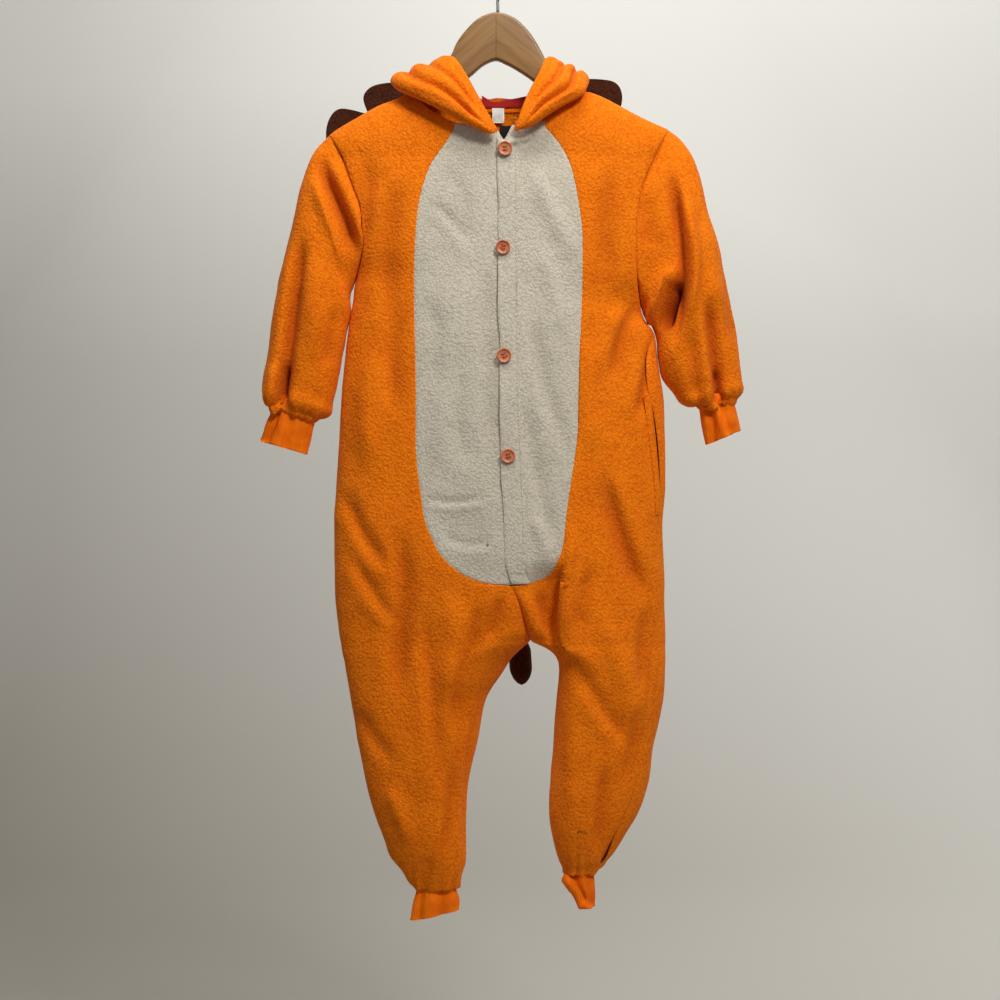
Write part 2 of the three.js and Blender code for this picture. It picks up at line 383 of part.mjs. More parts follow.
// ---- sleeves and cuffs ----
const RING = 18;
function ringPoint(r, a, grow = 0, power = 0.85) {
  const cx = (r.ox + r.ux) / 2, cz = (r.oz + r.uz) / 2, hx = (r.ox - r.ux) / 2, hz = (r.oz - r.uz) / 2, h = Math.hypot(hx, hz), g = (h + grow) / h;
  const s = Math.sin(a);
  return V(cx + hx * g * Math.cos(a), -(r.half + grow) * Math.sign(s) * Math.abs(s) ** power, cz + hz * g * Math.cos(a));
}
function armhole(S, a) {                     // a: 0 shoulder point, pi underarm, front first
  const back = a > Math.PI, t = 5 * (back ? 2 * Math.PI - a : a) / Math.PI;
  const p = body(S, t, back ? 1.00001 : 0.99999), e = t < 1 ? at(S.rows, 't', 1).edge * Math.sqrt(1 - (1 - t) ** 2) : at(S.rows, 't', t).edge;
  p.y = back ? e : -e; return p;
}
function sleeve(S, T) {
  const last = T.length - 1;
  const P = T.map((r, i) => Array.from({ length: RING }, (_, j) => {
    const a = 2 * Math.PI * j / RING;
    if (i === 0) { const p = armhole(S, a), q = ringPoint(T[1], a); const low = Math.max(0, -Math.cos(a)) ** 6; p.addScaledVector(q.sub(p).normalize(), 0.4 + 0.5 * Math.abs(Math.cos(a)) + .6 * low); p.x += S.sign * 1.1 * low; return p; }
    return ringPoint(r, a, i === last ? FLEECE + 0.3 : i === last - 1 ? 1.2 : 0);
  }));
  return cloth(P, FLEECE, { loop: true, flip: S === SIDE.b, inward: (i, j, d) => { if (i > 0) return null; if (d.x * S.sign < 0) { d.x = 0; d.normalize(); } return d; } });
}
add('sleeve_a', sleeve(SIDE.a, SLEEVE_A), ORANGE);
add('sleeve_b', sleeve(SIDE.b, SLEEVE_B), ORANGE);
const CUFFS = {
  wrist_cuff_a: { lap: [2.5, 6], rows: rowsOf('ox oz ux uz half', [[-244.6, -484.6, -196.9, -500.5, 17], [-251, -503, -203, -519.5, 17.5], [-259.6, -525.8, -207.9, -541.2, 15.5]]), flip: false },
  wrist_cuff_b: { lap: [-1.5, 6], rows: rowsOf('ox oz ux uz half', [[261.8, -480.7, 220, -485.7, 17], [265, -497, 224.5, -508, 17], [267.9, -514.8, 229.9, -530.2, 15]]), flip: true },
  ankle_cuff_a: { lap: [0, 4], rows: rowsOf('ox oz ux uz half', [[-88.4, -1017, -44.9, -1016, 10.2], [-91.5, -1033, -41.5, -1028, 12], [-94.6, -1052.7, -40.7, -1040.6, 11.5]]), flip: false },
  ankle_cuff_b: { lap: [0, 4], rows: rowsOf('ox oz ux uz half', [[106.5, -1000, 75.6, -1000.5, 11], [107, -1012, 71, -1009, 13.5], [108, -1024, 83.5, -1022, 13], [107.6, -1037, 92, -1039, 12]]), flip: true },
};
for (const [n, c] of Object.entries(CUFFS)) {
  const top = { ...c.rows[0] }; top.ox += c.lap[0]; top.ux += c.lap[0]; top.oz += c.lap[1]; top.uz += c.lap[1];
  if (n.startsWith('wrist')) { top.half -= 1; }
  const rows = [top, ...c.rows];
  const P = rows.map((r, i) => Array.from({ length: 14 }, (_, j) => ringPoint(r, 2 * Math.PI * j / 14, i === 0 ? -3 : i === 1 ? -2.6 : 0, 1)));
  add(n, cloth(P, JERSEY, { loop: true, flip: c.flip }), CUFF, 0.9);
}

// ---- hood: neck edge to face edge; rolled at the front, hanging as a bag behind ----
const backMax = (z) => at(BODY_A, 'iz', z).back;
const HB = [0, .0, .0, .06, .14, .24, .36, .5, .62, .74, .86, .95, 1];
function hoodPoint(r, j, sign) {
  const N = V(r.nx, r.ny, r.nz), E = V(r.ex, r.ey, r.ez), C = V(r.cx, r.cy, r.cz);
  if (r.rise > 0.3 && j < 3) return N.add(V(0, [0, .4, 2][j], [0, 9, 12][j] * r.rise));
  const b = r.rise > 0.3 ? HB[j] : Math.max(HB[j], [0, .015, .035][j] ?? 0);
  const s = Math.sin(Math.PI * b) ** 0.8;
  const start = r.rise > 0.3 ? N.clone().add(V(0, 4, 9 * r.rise)) : N;
  const p = start.clone().multiplyScalar(1 - b).addScaledVector(E, b).addScaledVector(C.clone().sub(N.clone().add(E).multiplyScalar(.5)), s);
  if (r.a < 5) p.y += 2.6 * Math.cos(2 * Math.PI * 2.5 * b) * Math.sin(Math.PI * b) * Math.min(1, r.a);      // rolls beside the neck
  if (r.a >= 5.5) p.y = Math.max(p.y, backMax(p.z) + (b < .5 ? 1.2 : 4));
  return p;
}
const HOOD_ROWS = [0, .5, 1, 2, 3, 4, 4.5, 5, 5.5, 6, 6.5, 7, 7.5, 8, 9, 9.5, 10];
for (const [k, T] of [['a', HOOD_A], ['b', HOOD_B]]) {
  const P = HOOD_ROWS.map((a) => HB.map((_, j) => hoodPoint(at(T, 'a', a), j, SIDE[k].sign)));
  add('hood_' + k, cloth(P, FLEECE, { flip: k === 'a' }), ORANGE);
}
const LIN = rowsOf('x low high', [[-17, -153.2, -140.5], [-3, -153.6, -147.4], [10, -153.2, -145], [22, -152.6, -143.5], [35, -151.8, -140.5]]);
add('neck_lining', cloth(LIN.map((r) => [V(r.x, 23.6 - Math.abs(r.x) * .03, r.high), V(r.x, 23.9 - Math.abs(r.x) * .03, r.low)]), 1.4, { inward: () => V(0, 1, 0) }), RED);
const backLabel = [0, 1].map((i) => [0, 1].map((j) => V(mix(-5.5, 7.7, j), 20.3 + i * 1.9, mix(-155, -171.5, i))));
add('label_white', cloth(backLabel, .5, { inward: () => V(0, -1, 0) }), 0xe8e6e0, .6);
const frontLabel = [0, 1].map((i) => [0, 1].map((j) => V(mix(2.5, 15.5, j), -24.5, mix(-184, -200, i))));
add('label_dark', cloth(frontLabel, .5, { inward: () => V(0, 1, 0) }), 0x15130f, .6);

// ---- mane: scalloped strip round the dropped hood ----
const MANE_PATH = {
  a: rowsOf('s x y z', [[0, -86, 56, -122], [0.06, -104, 56, -146], [0.11, -118, 56, -165], [0.17, -141, 56, -181], [0.23, -156, 57, -206], [0.3, -160, 57, -238], [0.42, -156, 57, -276], [0.55, -137, 58, -315], [0.7, -100, 60, -344], [0.85, -53, 62, -363], [1, -1, 64, -371]]),
  b: rowsOf('s x y z', [[0, 72, 56, -119], [0.06, 90, 56, -143], [0.11, 105, 57, -163], [0.17, 122, 58, -190], [0.24, 141, 59, -222], [0.31, 153, 58.5, -250], [0.42, 155, 57, -280], [0.55, 137, 58, -316], [0.7, 100, 60, -344], [0.85, 53, 62, -363], [1, 1, 64, -371]]),
};
for (const k of ['a', 'b']) {
  const g = SIDE[k].sign, N = LOBES * 6;
  const pt = (s) => { const r = at(MANE_PATH[k], 's', s); return V(r.x, r.y, r.z); };
  const rows = [0, .45, 1].map((r) => Array.from({ length: N + 1 }, (_, j) => {
    const s = j / N, p = pt(s), q = pt(Math.max(0, s - .05)), n = pt(Math.min(1, s + .05)), d = n.sub(q).normalize();
    const out = V(d.z, 0, -d.x).multiplyScalar(-g); if (out.x * p.x < 0 && Math.abs(p.x) > 5) out.negate(); if (s > .9) out.z = -Math.abs(out.z);
    out.normalize(); if (s === 1) out.set(0, 0, -1);
    const lobe = Math.abs(Math.sin(Math.PI * LOBES * s)), len = MANE_BASE + (LOBE_LEN - MANE_BASE) * lobe ** .55;
    p.addScaledVector(out, 2.5 + r * len).addScaledVector(d, MANE_DROOP * r * r * lobe * Math.min(1, (1 - s) * 6)); p.y -= 5 * r * r; if (s === 1) p.x = g * .2; return p;
  }));
  add('mane_' + k, cloth(rows, MANE_T, { inward: () => V(0, 1, 0) }), BROWN);
}

// ---- tail ----
function cord(name, path, radii, color) {
  const n = path.length, m = 10, pos = [], idx = [];
  path.forEach((p, i) => { const d = path[Math.min(i + 1, n - 1)].clone().sub(path[Math.max(0, i - 1)]).normalize(), u = V(1, 0, 0).cross(d).normalize(), v = d.clone().cross(u);
    for (let j = 0; j < m; j++) { const a = 2 * Math.PI * j / m; const q = p.clone().addScaledVector(u, radii[i] * Math.cos(a)).addScaledVector(v, radii[i] * Math.sin(a)); pos.push(q.x, q.y, q.z); } });
  for (const p of [path[0], path[n - 1]]) pos.push(p.x, p.y, p.z);
  for (let i = 0; i < n - 1; i++) for (let j = 0; j < m; j++) { const a = i * m + j, b = i * m + (j + 1) % m; idx.push(a, b, b + m, a, b + m, a + m); }
  for (let j = 0; j < m; j++) { idx.push(n * m, (j + 1) % m, j); idx.push(n * m + 1, (n - 1) * m + j, (n - 1) * m + (j + 1) % m); }
  add(name, weld(pos, idx), color);
}
cord('tail', [V(3, 55.5, -552), V(3.5, 61, -561), V(5, 66, -580), V(10, 67, -640), V(18, 64, -700), V(25, 58, -752)], [9, 11.5, 12, 12, 12, 11.5], ORANGE);
cord('tail_tuft', [V(25.3, 57.7, -754.2), V(25.7, 57, -761), V(26.6, 56, -775), V(27.4, 55, -788), V(27.8, 54.6, -795), V(28, 54.5, -798)], [11, 12.6, 12.8, 11, 7, 2.5], BROWN);

// ---- pocket at the wearer's left side seam ----
const bagRows = rowsOf('x y z tall thick tilt', [[163, -12, -528, 52, 6, -.10], [140, -14, -534, 58, 7, -.06], [112, -16, -545, 66, 8, 0], [84, -17, -556, 66, 7.5, 0], [62, -17, -560, 52, 6, 0], [52, -17, -560, 30, 3.4, 0]]);
add('pocket_bag', cloth(bagRows.map((r) => Array.from({ length: 12 }, (_, j) => { const a = 2 * Math.PI * j / 12; return V(r.x + r.tilt * r.tall * Math.cos(a), r.y - r.thick * Math.sin(a), r.z + r.tall * Math.cos(a)); })).concat([Array.from({ length: 12 }, () => V(49, -17, -560))]), 1.6, { loop: true, pole: true, flip: true }), CUFF);
const edgeT = [7.9, 8.3, 8.8, 9.3, 9.8, 10.3, 10.7];
add('pocket_edge', cloth(edgeT.map((t) => { const w = at(BODY_B, 't', t).seamOut; return [w - .062, w - .03, w - .004].map((q) => body(SIDE.b, t, q, 2.1)); }), 1.3, { inward: () => V(0, 1, 0) }), ORANGE);

// ---- solids cut and joined ----
const wasm = await Module(); wasm.setup();
function toManifold(geo) {
  let g = geo.clone(); for (const n of Object.keys(g.attributes)) if (n !== 'position') g.deleteAttribute(n);
  g = mergeVertices(g, 1e-4);
  return new wasm.Manifold(new wasm.Mesh({ numProp: 3, vertProperties: new Float32Array(g.attributes.position.array), triVerts: new Uint32Array(g.index.array) }));
}
function fromManifold(man) {
  const m = man.getMesh(); const g = new THREE.BufferGeometry();
  g.setAttribute('position', new THREE.BufferAttribute(new Float32Array(m.vertProperties), 3)); g.setIndex(new THREE.BufferAttribute(new Uint32Array(m.triVerts), 1)); g.computeVertexNormals(); return g;
}
// buttons: raised rim, dished middle, four holes
const BUTTONS = rowsOf('x z t', [[8.7, -207.9, .9], [6.5, -315.7, 4], [7.6, -434.5, 7.33], [11.9, -543.4, 9.52]]);
BUTTONS.forEach((b, i) => {
  const R = BUTTON_D / 2, prof = [[0, 0], [R - 1, 0], [R, 1], [R, BUTTON_T - .7], [R - .8, BUTTON_T], [R - 1.9, BUTTON_T - .3], [R - 2.6, BUTTON_T - 1.1], [0, BUTTON_T - 1.3]].map(([x, y]) => new THREE.Vector2(x, y));
  let man = toManifold(new THREE.LatheGeometry(prof, 20));
  for (let h = 0; h < 4; h++) { const c = new THREE.CylinderGeometry(.95, .95, 10, 8); c.translate(1.75 * (h < 2 ? 1 : -1), 1, 1.75 * (h % 2 ? 1 : -1)); man = man.subtract(toManifold(c)); }
  const g = fromManifold(man); g.rotateX(Math.PI);
  const y = acrossX(b.t, b.x).y - PLACKET_LIFT - .35;
  g.translate(b.x, y, b.z); add('button_' + (i + 1), g, SALMON, .35);
});
// hanger: rounded head, two wings falling to the shoulder points
const HANGER_TOP = rowsOf('x z', [[-172, -190], [-150, -181], [-128, -169], [-100, -159.5], [-92, -155.5], [-84, -149.5], [-72, -132], [-57, -112], [-50, -101], [-44, -88], [-34, -74.5], [-20, -61.5], [-1, -55], [18, -60.5], [32, -72.5], [42, -86], [50, -100.5], [56, -112], [70, -130], [82, -147.5], [90, -154], [98, -158.5], [128, -169], [152, -181], [176, -188]]);
const HANGER_LOW = rowsOf('x z', [[176, -202], [150, -197], [120, -183], [90, -166], [60, -146], [30, -123], [10, -111.5], [-1, -107.3], [-12, -111], [-29, -124.5], [-60, -146], [-90, -166], [-120, -183], [-150, -197], [-172, -203]]);
const shape = new THREE.Shape(HANGER_TOP.concat(HANGER_LOW).map((p) => new THREE.Vector2(p.x, p.z)));
const wood = new THREE.ExtrudeGeometry(shape, { depth: HANGER_T - 4, bevelEnabled: true, bevelThickness: 2, bevelSize: 2, bevelOffset: -2, bevelSegments: 2, steps: 1 });
wood.rotateX(Math.PI / 2); wood.translate(0, (HANGER_T - 4) / 2, 0);
{ const g = wood.toNonIndexed(); const m = toManifold(g); add('hanger_wood', fromManifold(m), 0x96703e, .5); }
const hookPath = new THREE.CatmullRomCurve3([V(.9, 0, -54.6), V(.9, 0, -48), V(.9, 0, -41), V(4.5, 0, -35.5), V(13, 0, -31), V(20, 0, -24.5), V(21.8, 0, -16), V(18, 0, -7), V(9.5, 0, -.3), V(0, 0, HOOK_D / 2), V(-9.5, 0, -.3), V(-17.5, 0, -6.5), V(-21.5, 0, -15), V(-21.5, 0, -21)]);
const hookGeo = new THREE.ExtrudeGeometry(new THREE.Shape(Array.from({ length: 8 }, (_, i) => new THREE.Vector2(HOOK_D / 2 * Math.cos(i * Math.PI / 4), HOOK_D / 2 * Math.sin(i * Math.PI / 4)))), { steps: 26, extrudePath: hookPath, bevelEnabled: false });
add('hanger_hook', fromManifold(toManifold(hookGeo.toNonIndexed ? (hookGeo.index ? hookGeo.toNonIndexed() : hookGeo) : hookGeo)), 0xb8bcc0, .25, 1);

export default group;
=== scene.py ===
# Child's lion costume on a wooden hanger: the looks.
# Sizes here are in mm, in the part's own frame; meshes are written in metres.
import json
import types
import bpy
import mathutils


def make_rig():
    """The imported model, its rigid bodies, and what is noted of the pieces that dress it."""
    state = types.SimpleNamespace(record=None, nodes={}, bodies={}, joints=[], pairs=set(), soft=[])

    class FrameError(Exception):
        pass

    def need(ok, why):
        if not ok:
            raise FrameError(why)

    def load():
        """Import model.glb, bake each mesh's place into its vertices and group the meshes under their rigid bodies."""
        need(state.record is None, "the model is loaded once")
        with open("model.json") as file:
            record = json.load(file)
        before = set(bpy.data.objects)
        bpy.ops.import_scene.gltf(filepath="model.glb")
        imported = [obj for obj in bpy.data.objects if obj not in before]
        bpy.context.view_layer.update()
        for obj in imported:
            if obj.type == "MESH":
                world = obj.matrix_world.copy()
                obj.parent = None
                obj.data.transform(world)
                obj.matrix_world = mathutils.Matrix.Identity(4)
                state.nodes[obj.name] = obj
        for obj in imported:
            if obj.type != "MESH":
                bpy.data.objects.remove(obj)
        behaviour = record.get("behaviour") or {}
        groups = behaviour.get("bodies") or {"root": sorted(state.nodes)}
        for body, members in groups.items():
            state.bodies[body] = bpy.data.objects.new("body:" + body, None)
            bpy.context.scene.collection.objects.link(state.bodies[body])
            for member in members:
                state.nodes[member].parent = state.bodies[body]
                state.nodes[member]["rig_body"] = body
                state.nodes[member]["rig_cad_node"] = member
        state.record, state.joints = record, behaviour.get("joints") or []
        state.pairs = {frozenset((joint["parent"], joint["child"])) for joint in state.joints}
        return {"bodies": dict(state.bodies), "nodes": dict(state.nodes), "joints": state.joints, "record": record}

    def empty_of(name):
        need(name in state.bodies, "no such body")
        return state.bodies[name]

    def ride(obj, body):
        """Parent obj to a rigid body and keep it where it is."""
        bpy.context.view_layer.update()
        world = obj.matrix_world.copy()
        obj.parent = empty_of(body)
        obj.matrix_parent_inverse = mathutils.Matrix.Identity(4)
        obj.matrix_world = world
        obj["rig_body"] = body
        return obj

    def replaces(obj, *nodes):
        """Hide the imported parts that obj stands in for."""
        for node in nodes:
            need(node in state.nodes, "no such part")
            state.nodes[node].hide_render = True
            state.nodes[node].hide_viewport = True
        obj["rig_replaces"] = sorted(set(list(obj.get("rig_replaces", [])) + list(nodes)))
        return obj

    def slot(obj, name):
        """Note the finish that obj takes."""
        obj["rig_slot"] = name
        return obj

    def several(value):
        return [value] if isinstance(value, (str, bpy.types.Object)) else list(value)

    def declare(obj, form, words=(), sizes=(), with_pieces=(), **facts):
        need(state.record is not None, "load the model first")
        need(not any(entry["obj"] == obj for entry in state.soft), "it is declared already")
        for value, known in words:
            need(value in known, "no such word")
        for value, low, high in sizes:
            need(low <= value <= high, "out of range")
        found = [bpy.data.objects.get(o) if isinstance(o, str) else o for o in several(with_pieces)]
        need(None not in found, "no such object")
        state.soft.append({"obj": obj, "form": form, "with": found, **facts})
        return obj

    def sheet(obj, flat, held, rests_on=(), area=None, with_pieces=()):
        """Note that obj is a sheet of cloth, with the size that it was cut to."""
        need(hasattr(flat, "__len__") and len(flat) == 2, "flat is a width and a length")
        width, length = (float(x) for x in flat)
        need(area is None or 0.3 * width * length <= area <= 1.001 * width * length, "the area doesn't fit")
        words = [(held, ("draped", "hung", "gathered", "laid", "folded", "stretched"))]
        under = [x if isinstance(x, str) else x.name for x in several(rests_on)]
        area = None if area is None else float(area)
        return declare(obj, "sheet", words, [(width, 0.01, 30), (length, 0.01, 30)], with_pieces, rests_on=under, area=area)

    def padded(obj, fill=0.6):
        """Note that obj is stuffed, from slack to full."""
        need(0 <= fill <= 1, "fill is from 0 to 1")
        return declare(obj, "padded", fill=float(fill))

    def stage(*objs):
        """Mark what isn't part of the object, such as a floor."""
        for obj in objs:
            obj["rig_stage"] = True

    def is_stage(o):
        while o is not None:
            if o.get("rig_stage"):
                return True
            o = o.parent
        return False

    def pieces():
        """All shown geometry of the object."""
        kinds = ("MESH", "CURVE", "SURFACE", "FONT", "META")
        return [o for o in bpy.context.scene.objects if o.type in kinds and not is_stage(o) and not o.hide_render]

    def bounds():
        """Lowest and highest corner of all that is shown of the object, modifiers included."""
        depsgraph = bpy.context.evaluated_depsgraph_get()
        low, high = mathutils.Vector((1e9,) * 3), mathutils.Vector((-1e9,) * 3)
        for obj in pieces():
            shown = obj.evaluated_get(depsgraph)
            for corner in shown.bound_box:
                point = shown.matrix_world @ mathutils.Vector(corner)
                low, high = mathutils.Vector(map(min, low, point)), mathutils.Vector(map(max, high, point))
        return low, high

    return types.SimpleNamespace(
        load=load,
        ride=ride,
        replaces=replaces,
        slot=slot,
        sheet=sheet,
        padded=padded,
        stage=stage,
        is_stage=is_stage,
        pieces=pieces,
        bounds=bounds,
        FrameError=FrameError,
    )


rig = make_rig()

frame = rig.load()
import bpy, bmesh, json, math
import numpy as np
cad_box = [list(map(float, c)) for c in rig.bounds()]

PI = math.pi
FLEECE, JERSEY, SEAM = 2.3, 1.8, 0.3
PLACKET_W, PLACKET_LIFT = 22.0, 3.7
FOLD_X, FOLD_SOFT, POWER = 73.0, 7.0, 0.88
CELL = 3.3                       # spacing of the cloth's grid
EDGE = np.array([0, .7, 1.6, 2.9, 4.6])   # first columns beside a seam or a hem
SEAM_DIP, SEAM_WIDE = 1.0, 2.0   # a seam pulls the pile in by this much, over this distance
HANGER_T, HOOK_D = 12.0, 3.7
BUTTON_D, BUTTON_T = 16.0, 3.2
LOBES, LOBE_LEN, MANE_BASE, MANE_DROOP = 9, 45.0, 13.0, 15.0


def table(cols, rows):
    return {c: np.array([r[i] for r in rows], float) for i, c in enumerate(cols.split())}


BODY_A = table('t ix iz sx sz front back edge close seamIn seamOut tuck drop', [
  [1, 2.2, -211.8, -169.2, -216.2, 31.9, 29.9, 15, 0, 0, 1, 0, 0], [2, 2.2, -242.7, -157.6, -249.3, 35, 33, 23, 0, 0, 1, 0, 0],
  [3, 2.2, -277.6, -147.5, -284.7, 36.9, 34.9, 27, 0, 0, 1, 0, 0], [4, 2.2, -315.7, -146.8, -318.7, 39, 37, 22, 0, 0, 1, 0, 0],
  [5, 2.7, -356.9, -156.2, -354.2, 41.1, 39.1, 0, 0, 0, 1, 0, 0], [6, 2.9, -375.3, -158, -372.9, 42, 40, 0, 0, 0, 1.06, 0, 0],
  [7, 3.3, -418.5, -164.8, -414.7, 43.4, 41.4, 0, 0, 0, 1.12, 0, 0], [8, 3.3, -467, -169.4, -464.2, 45, 43, 0, 0, 0, 1.12, 0, 0],
  [9, 5.4, -515.5, -172.7, -513.7, 46.4, 44.4, 0, 0, 0, 1.12, 0, 0], [10, 7.6, -569.2, -177.1, -568.7, 48, 46, 0, 0, 0, 1.12, 0, 0],
  [11, 9.7, -617.5, -178.8, -618.2, 49.2, 47.2, 0, 0, 0, 1.12, 0, 0], [12, 8.7, -652.9, -179.3, -654.5, 50, 48, 0, 0, 0, 1.12, 0, 0],
  [13, 14, -678.7, -179.3, -680.9, 49.5, 47.5, 0, 0.011, 0, 1.115, 0, 0], [14, 23.7, -700.4, -178.2, -702.9, 49, 47, 0, 0.103, 0, 1.11, 0, 0],
  [15, 29.3, -720.5, -174.9, -722.7, 47.6, 45.6, 0, 0.292, 0, 1.105, 0, 0], [16, 33.8, -735.5, -172.7, -738.1, 46.6, 44.6, 0, 0.558, 0, 1.102, 0, 0],
  [17, 36.3, -744.7, -170.5, -749.1, 46, 44, 0, 1, 0, 1.1, 0, 0], [18, 27.5, -753.5, -169.4, -757.9, 45.8, 43.8, 0, 1, 0.015, 1.1, 0, 0],
  [19, 16.5, -764.5, -167.2, -768.9, 45.4, 43.4, 0, 1, 0.034, 1.1, 0, 0], [20, 6.6, -779.9, -165, -784.3, 45, 43, 0, 1, 0.06, 1.1, 0, 0],
  [21, -12.1, -810.7, -160.6, -812.9, 44.2, 42.2, 0, 1, 0.08, 1.1, 0, 0], [22, -20.9, -854.7, -152.9, -854.7, 43, 41, 0, 1, 0.08, 1.1, 0, 0],
  [23, -30.8, -898.7, -144.1, -898.7, 40, 38, 0, 1, 0.08, 1.1, 0, 0], [24, -33.6, -933.9, -134.2, -933.9, 36, 34, 0, 1, 0.08, 1.1, 0, 0],
  [25, -34.1, -962.5, -124.3, -962.5, 31, 30, 0, 1, 0.08, 1.1, 0, 0], [26, -34.1, -984.5, -117.7, -982.3, 25, 24, 0, 1, 0.08, 1.1, 0, 0],
  [27, -38.5, -1005, -103, -1001, 19, 18, 0, 1, 0.08, 1.1, 0, 0], [28, -40.8, -1016, -92.6, -1017, 14.5, 14.5, 0, 1, 0.08, 1.1, 0, 0]])
BODY_B = table('t ix iz sx sz front back edge close seamIn seamOut tuck drop', [
  [1, 2.2, -211.8, 172.5, -216.2, 31.9, 29.9, 15, 0, 0, 1, 0, 0], [2, 2.2, -242.7, 157.1, -256, 35, 33, 24, 0, 0, 1, 0, 0],
  [3, 2.2, -277.6, 151.8, -300.2, 36.9, 34.9, 29, 0, 0, 1, 0, 0], [4, 2.2, -315.7, 152.7, -346.3, 39, 37, 25, 0, 0, 1, 0, 0],
  [5, 2.7, -356.9, 160.6, -388.3, 41.1, 39.1, 0, 0, 0, 1, 0, 0], [6, 2.9, -375.3, 172.7, -408.1, 42, 40, 0, 0, 0, 0.9, 0, 0],
  [7, 3.3, -418.5, 176, -438.9, 43.4, 41.4, 0, 0, 0, 0.76, 0, 0], [8, 3.3, -467, 182.6, -480.7, 45, 43, 0, 0, 0, 0.72, 0, 0],
  [9, 5.4, -515.5, 185.4, -524.7, 46.4, 44.4, 0, 0, 0, 0.745, 0, 0], [10, 7.6, -569.2, 185.9, -573.1, 48, 46, 0, 0, 0, 0.79, 0, 0],
  [11, 9.7, -617.5, 182.4, -620.4, 49.2, 47.2, 0, 0, 0, 0.85, 0, 0], [12, 8.7, -652.9, 183.4, -654.5, 50, 48, 0, 0, 0, 0.869, 0, 0],
  [13, 14, -678.7, 184.2, -680.9, 49.5, 47.5, 0, 0.011, 0, 0.866, 15, 15], [14, 23.7, -700.4, 184.4, -702.9, 49, 47, 0, 0.103, 0, 0.863, 20, 20],
  [15, 29.3, -720.5, 184.4, -722.7, 47.6, 45.6, 0, 0.292, 0, 0.86, 21, 22],
  [16, 33.8, -735.5, 184.6, -738.1, 46.6, 44.6, 0, 0.558, 0, 0.853, 20, 22], [17, 36.3, -744.7, 184.6, -749.1, 46, 44, 0, 1, 0, 0.85, 16, 20],
  [18, 54, -753.5, 184.8, -757.9, 45.8, 43.8, 0, 1, -0.02, 0.846, 8, 10], [19, 65.6, -764.5, 185, -768.9, 45.4, 43.4, 0, 1, -0.045, 0.841, 0, 0],
  [20, 68.4, -779.9, 184.8, -784.3, 45, 43, 0, 1, -0.08, 0.825, 0, 0], [21, 65.6, -810.7, 182, -812.9, 44.2, 42.2, 0, 1, -0.109, 0.79, 0, 0],
  [22, 62.2, -854.7, 174.6, -854.7, 43, 41, 0, 1, -0.15, 0.777, 0, 0], [23, 59.4, -898.7, 167.2, -898.7, 40, 38, 0, 1, -0.15, 0.762, 0, 0],
  [24, 58, -933.9, 154.6, -933.9, 36, 34, 0, 1, -0.15, 0.75, 0, 0], [25, 61.6, -962.5, 137.5, -962.5, 31, 30, 0, 1, -0.15, 0.78, 0, 0],
  [26, 67.1, -984.5, 125.4, -982.3, 25, 24, 0, 1, -0.15, 0.84, 0, 0], [27, 71.4, -996, 116.5, -992.5, 17.5, 17.5, 0, 1, -0.15, 0.872, 0, 0],
  [28, 71.6, -1000.5, 110.6, -1000, 15.5, 15.5, 0, 1, -0.15, 0.9, 0, 0]])
BELLY_A = table('z x', [
  [-187.9, -46.8], [-203, -55.9], [-224.6, -71], [-246.1, -79.6], [-267.6, -85], [-289.2, -87.7], [-310.7, -89.3], [-353.8, -90.4], [-396.9, -89.9],
  [-439.9, -88.8], [-483, -88.2], [-526.1, -88.2], [-569.2, -85], [-590.7, -81.8], [-612.2, -78.5], [-633.8, -69.9], [-649.9, -61.3],
  [-662.9, -48.4], [-672.5, -34.4], [-679, -18.2], [-682.2, -13.9]])
BELLY_B = table('z x', [
  [-185.8, 52.8], [-203, 67.4], [-224.6, 79.2], [-246.1, 85.1], [-267.6, 88.9], [-289.2, 92.1], [-310.7, 93.2], [-353.8, 93.2], [-396.9, 91.6],
  [-439.9, 90], [-483, 88.9], [-526.1, 87.3], [-569.2, 80.8], [-590.7, 77.6], [-612.2, 74.9], [-633.8, 72.8], [-646.7, 70.1], [-657.5, 61.5],
  [-668.2, 55], [-675.8, 42.1], [-682.2, 41]])
SLEEVE_A = table('k ox oz ux uz half', [
  [0, -184.8, -190.3, -156.2, -354.2, 0], [1, -203.5, -213.4, -161.8, -366.3, 25], [2, -214.5, -243.1, -161.9, -383.9, 29],
  [3, -222.2, -276.1, -165.8, -403.7, 31], [4, -228.8, -304.7, -168.2, -421.3, 31], [5, -234.3, -328.9, -170.6, -436.7, 31],
  [6, -239.8, -354.2, -173.4, -452.1, 30], [7, -244.2, -381.7, -176.2, -465.3, 29], [8, -248.6, -409.2, -179.4, -477.4, 28],
  [9, -253, -434.5, -183, -488.4, 26], [10, -257.4, -458.7, -186.6, -496.1, 24], [11, -253, -475.2, -191.4, -499.4, 21],
  [12, -245.3, -484, -196.3, -500.5, 18]])
SLEEVE_B = table('k ox oz ux uz half', [
  [0, 189.2, -183.7, 160.6, -388.3, 0], [1, 207.9, -202.4, 172.9, -401.6, 25], [2, 220, -228.8, 176.8, -414.2, 29],
  [3, 228.8, -264, 178.4, -426.6, 31], [4, 236.5, -295.9, 179.4, -437.4, 31], [5, 244.2, -324.5, 180.4, -447.4, 31],
  [6, 251.4, -352, 182.6, -456, 30], [7, 257.4, -379.5, 187, -463.4, 29], [8, 262.4, -407, 192.6, -469.8, 28], [9, 266.2, -433.4, 199, -476.4, 26],
  [10, 269, -458.7, 206.2, -482.6, 24], [11, 267.9, -474.1, 213.4, -486.2, 21], [12, 262.9, -480.7, 219.5, -486, 18]])
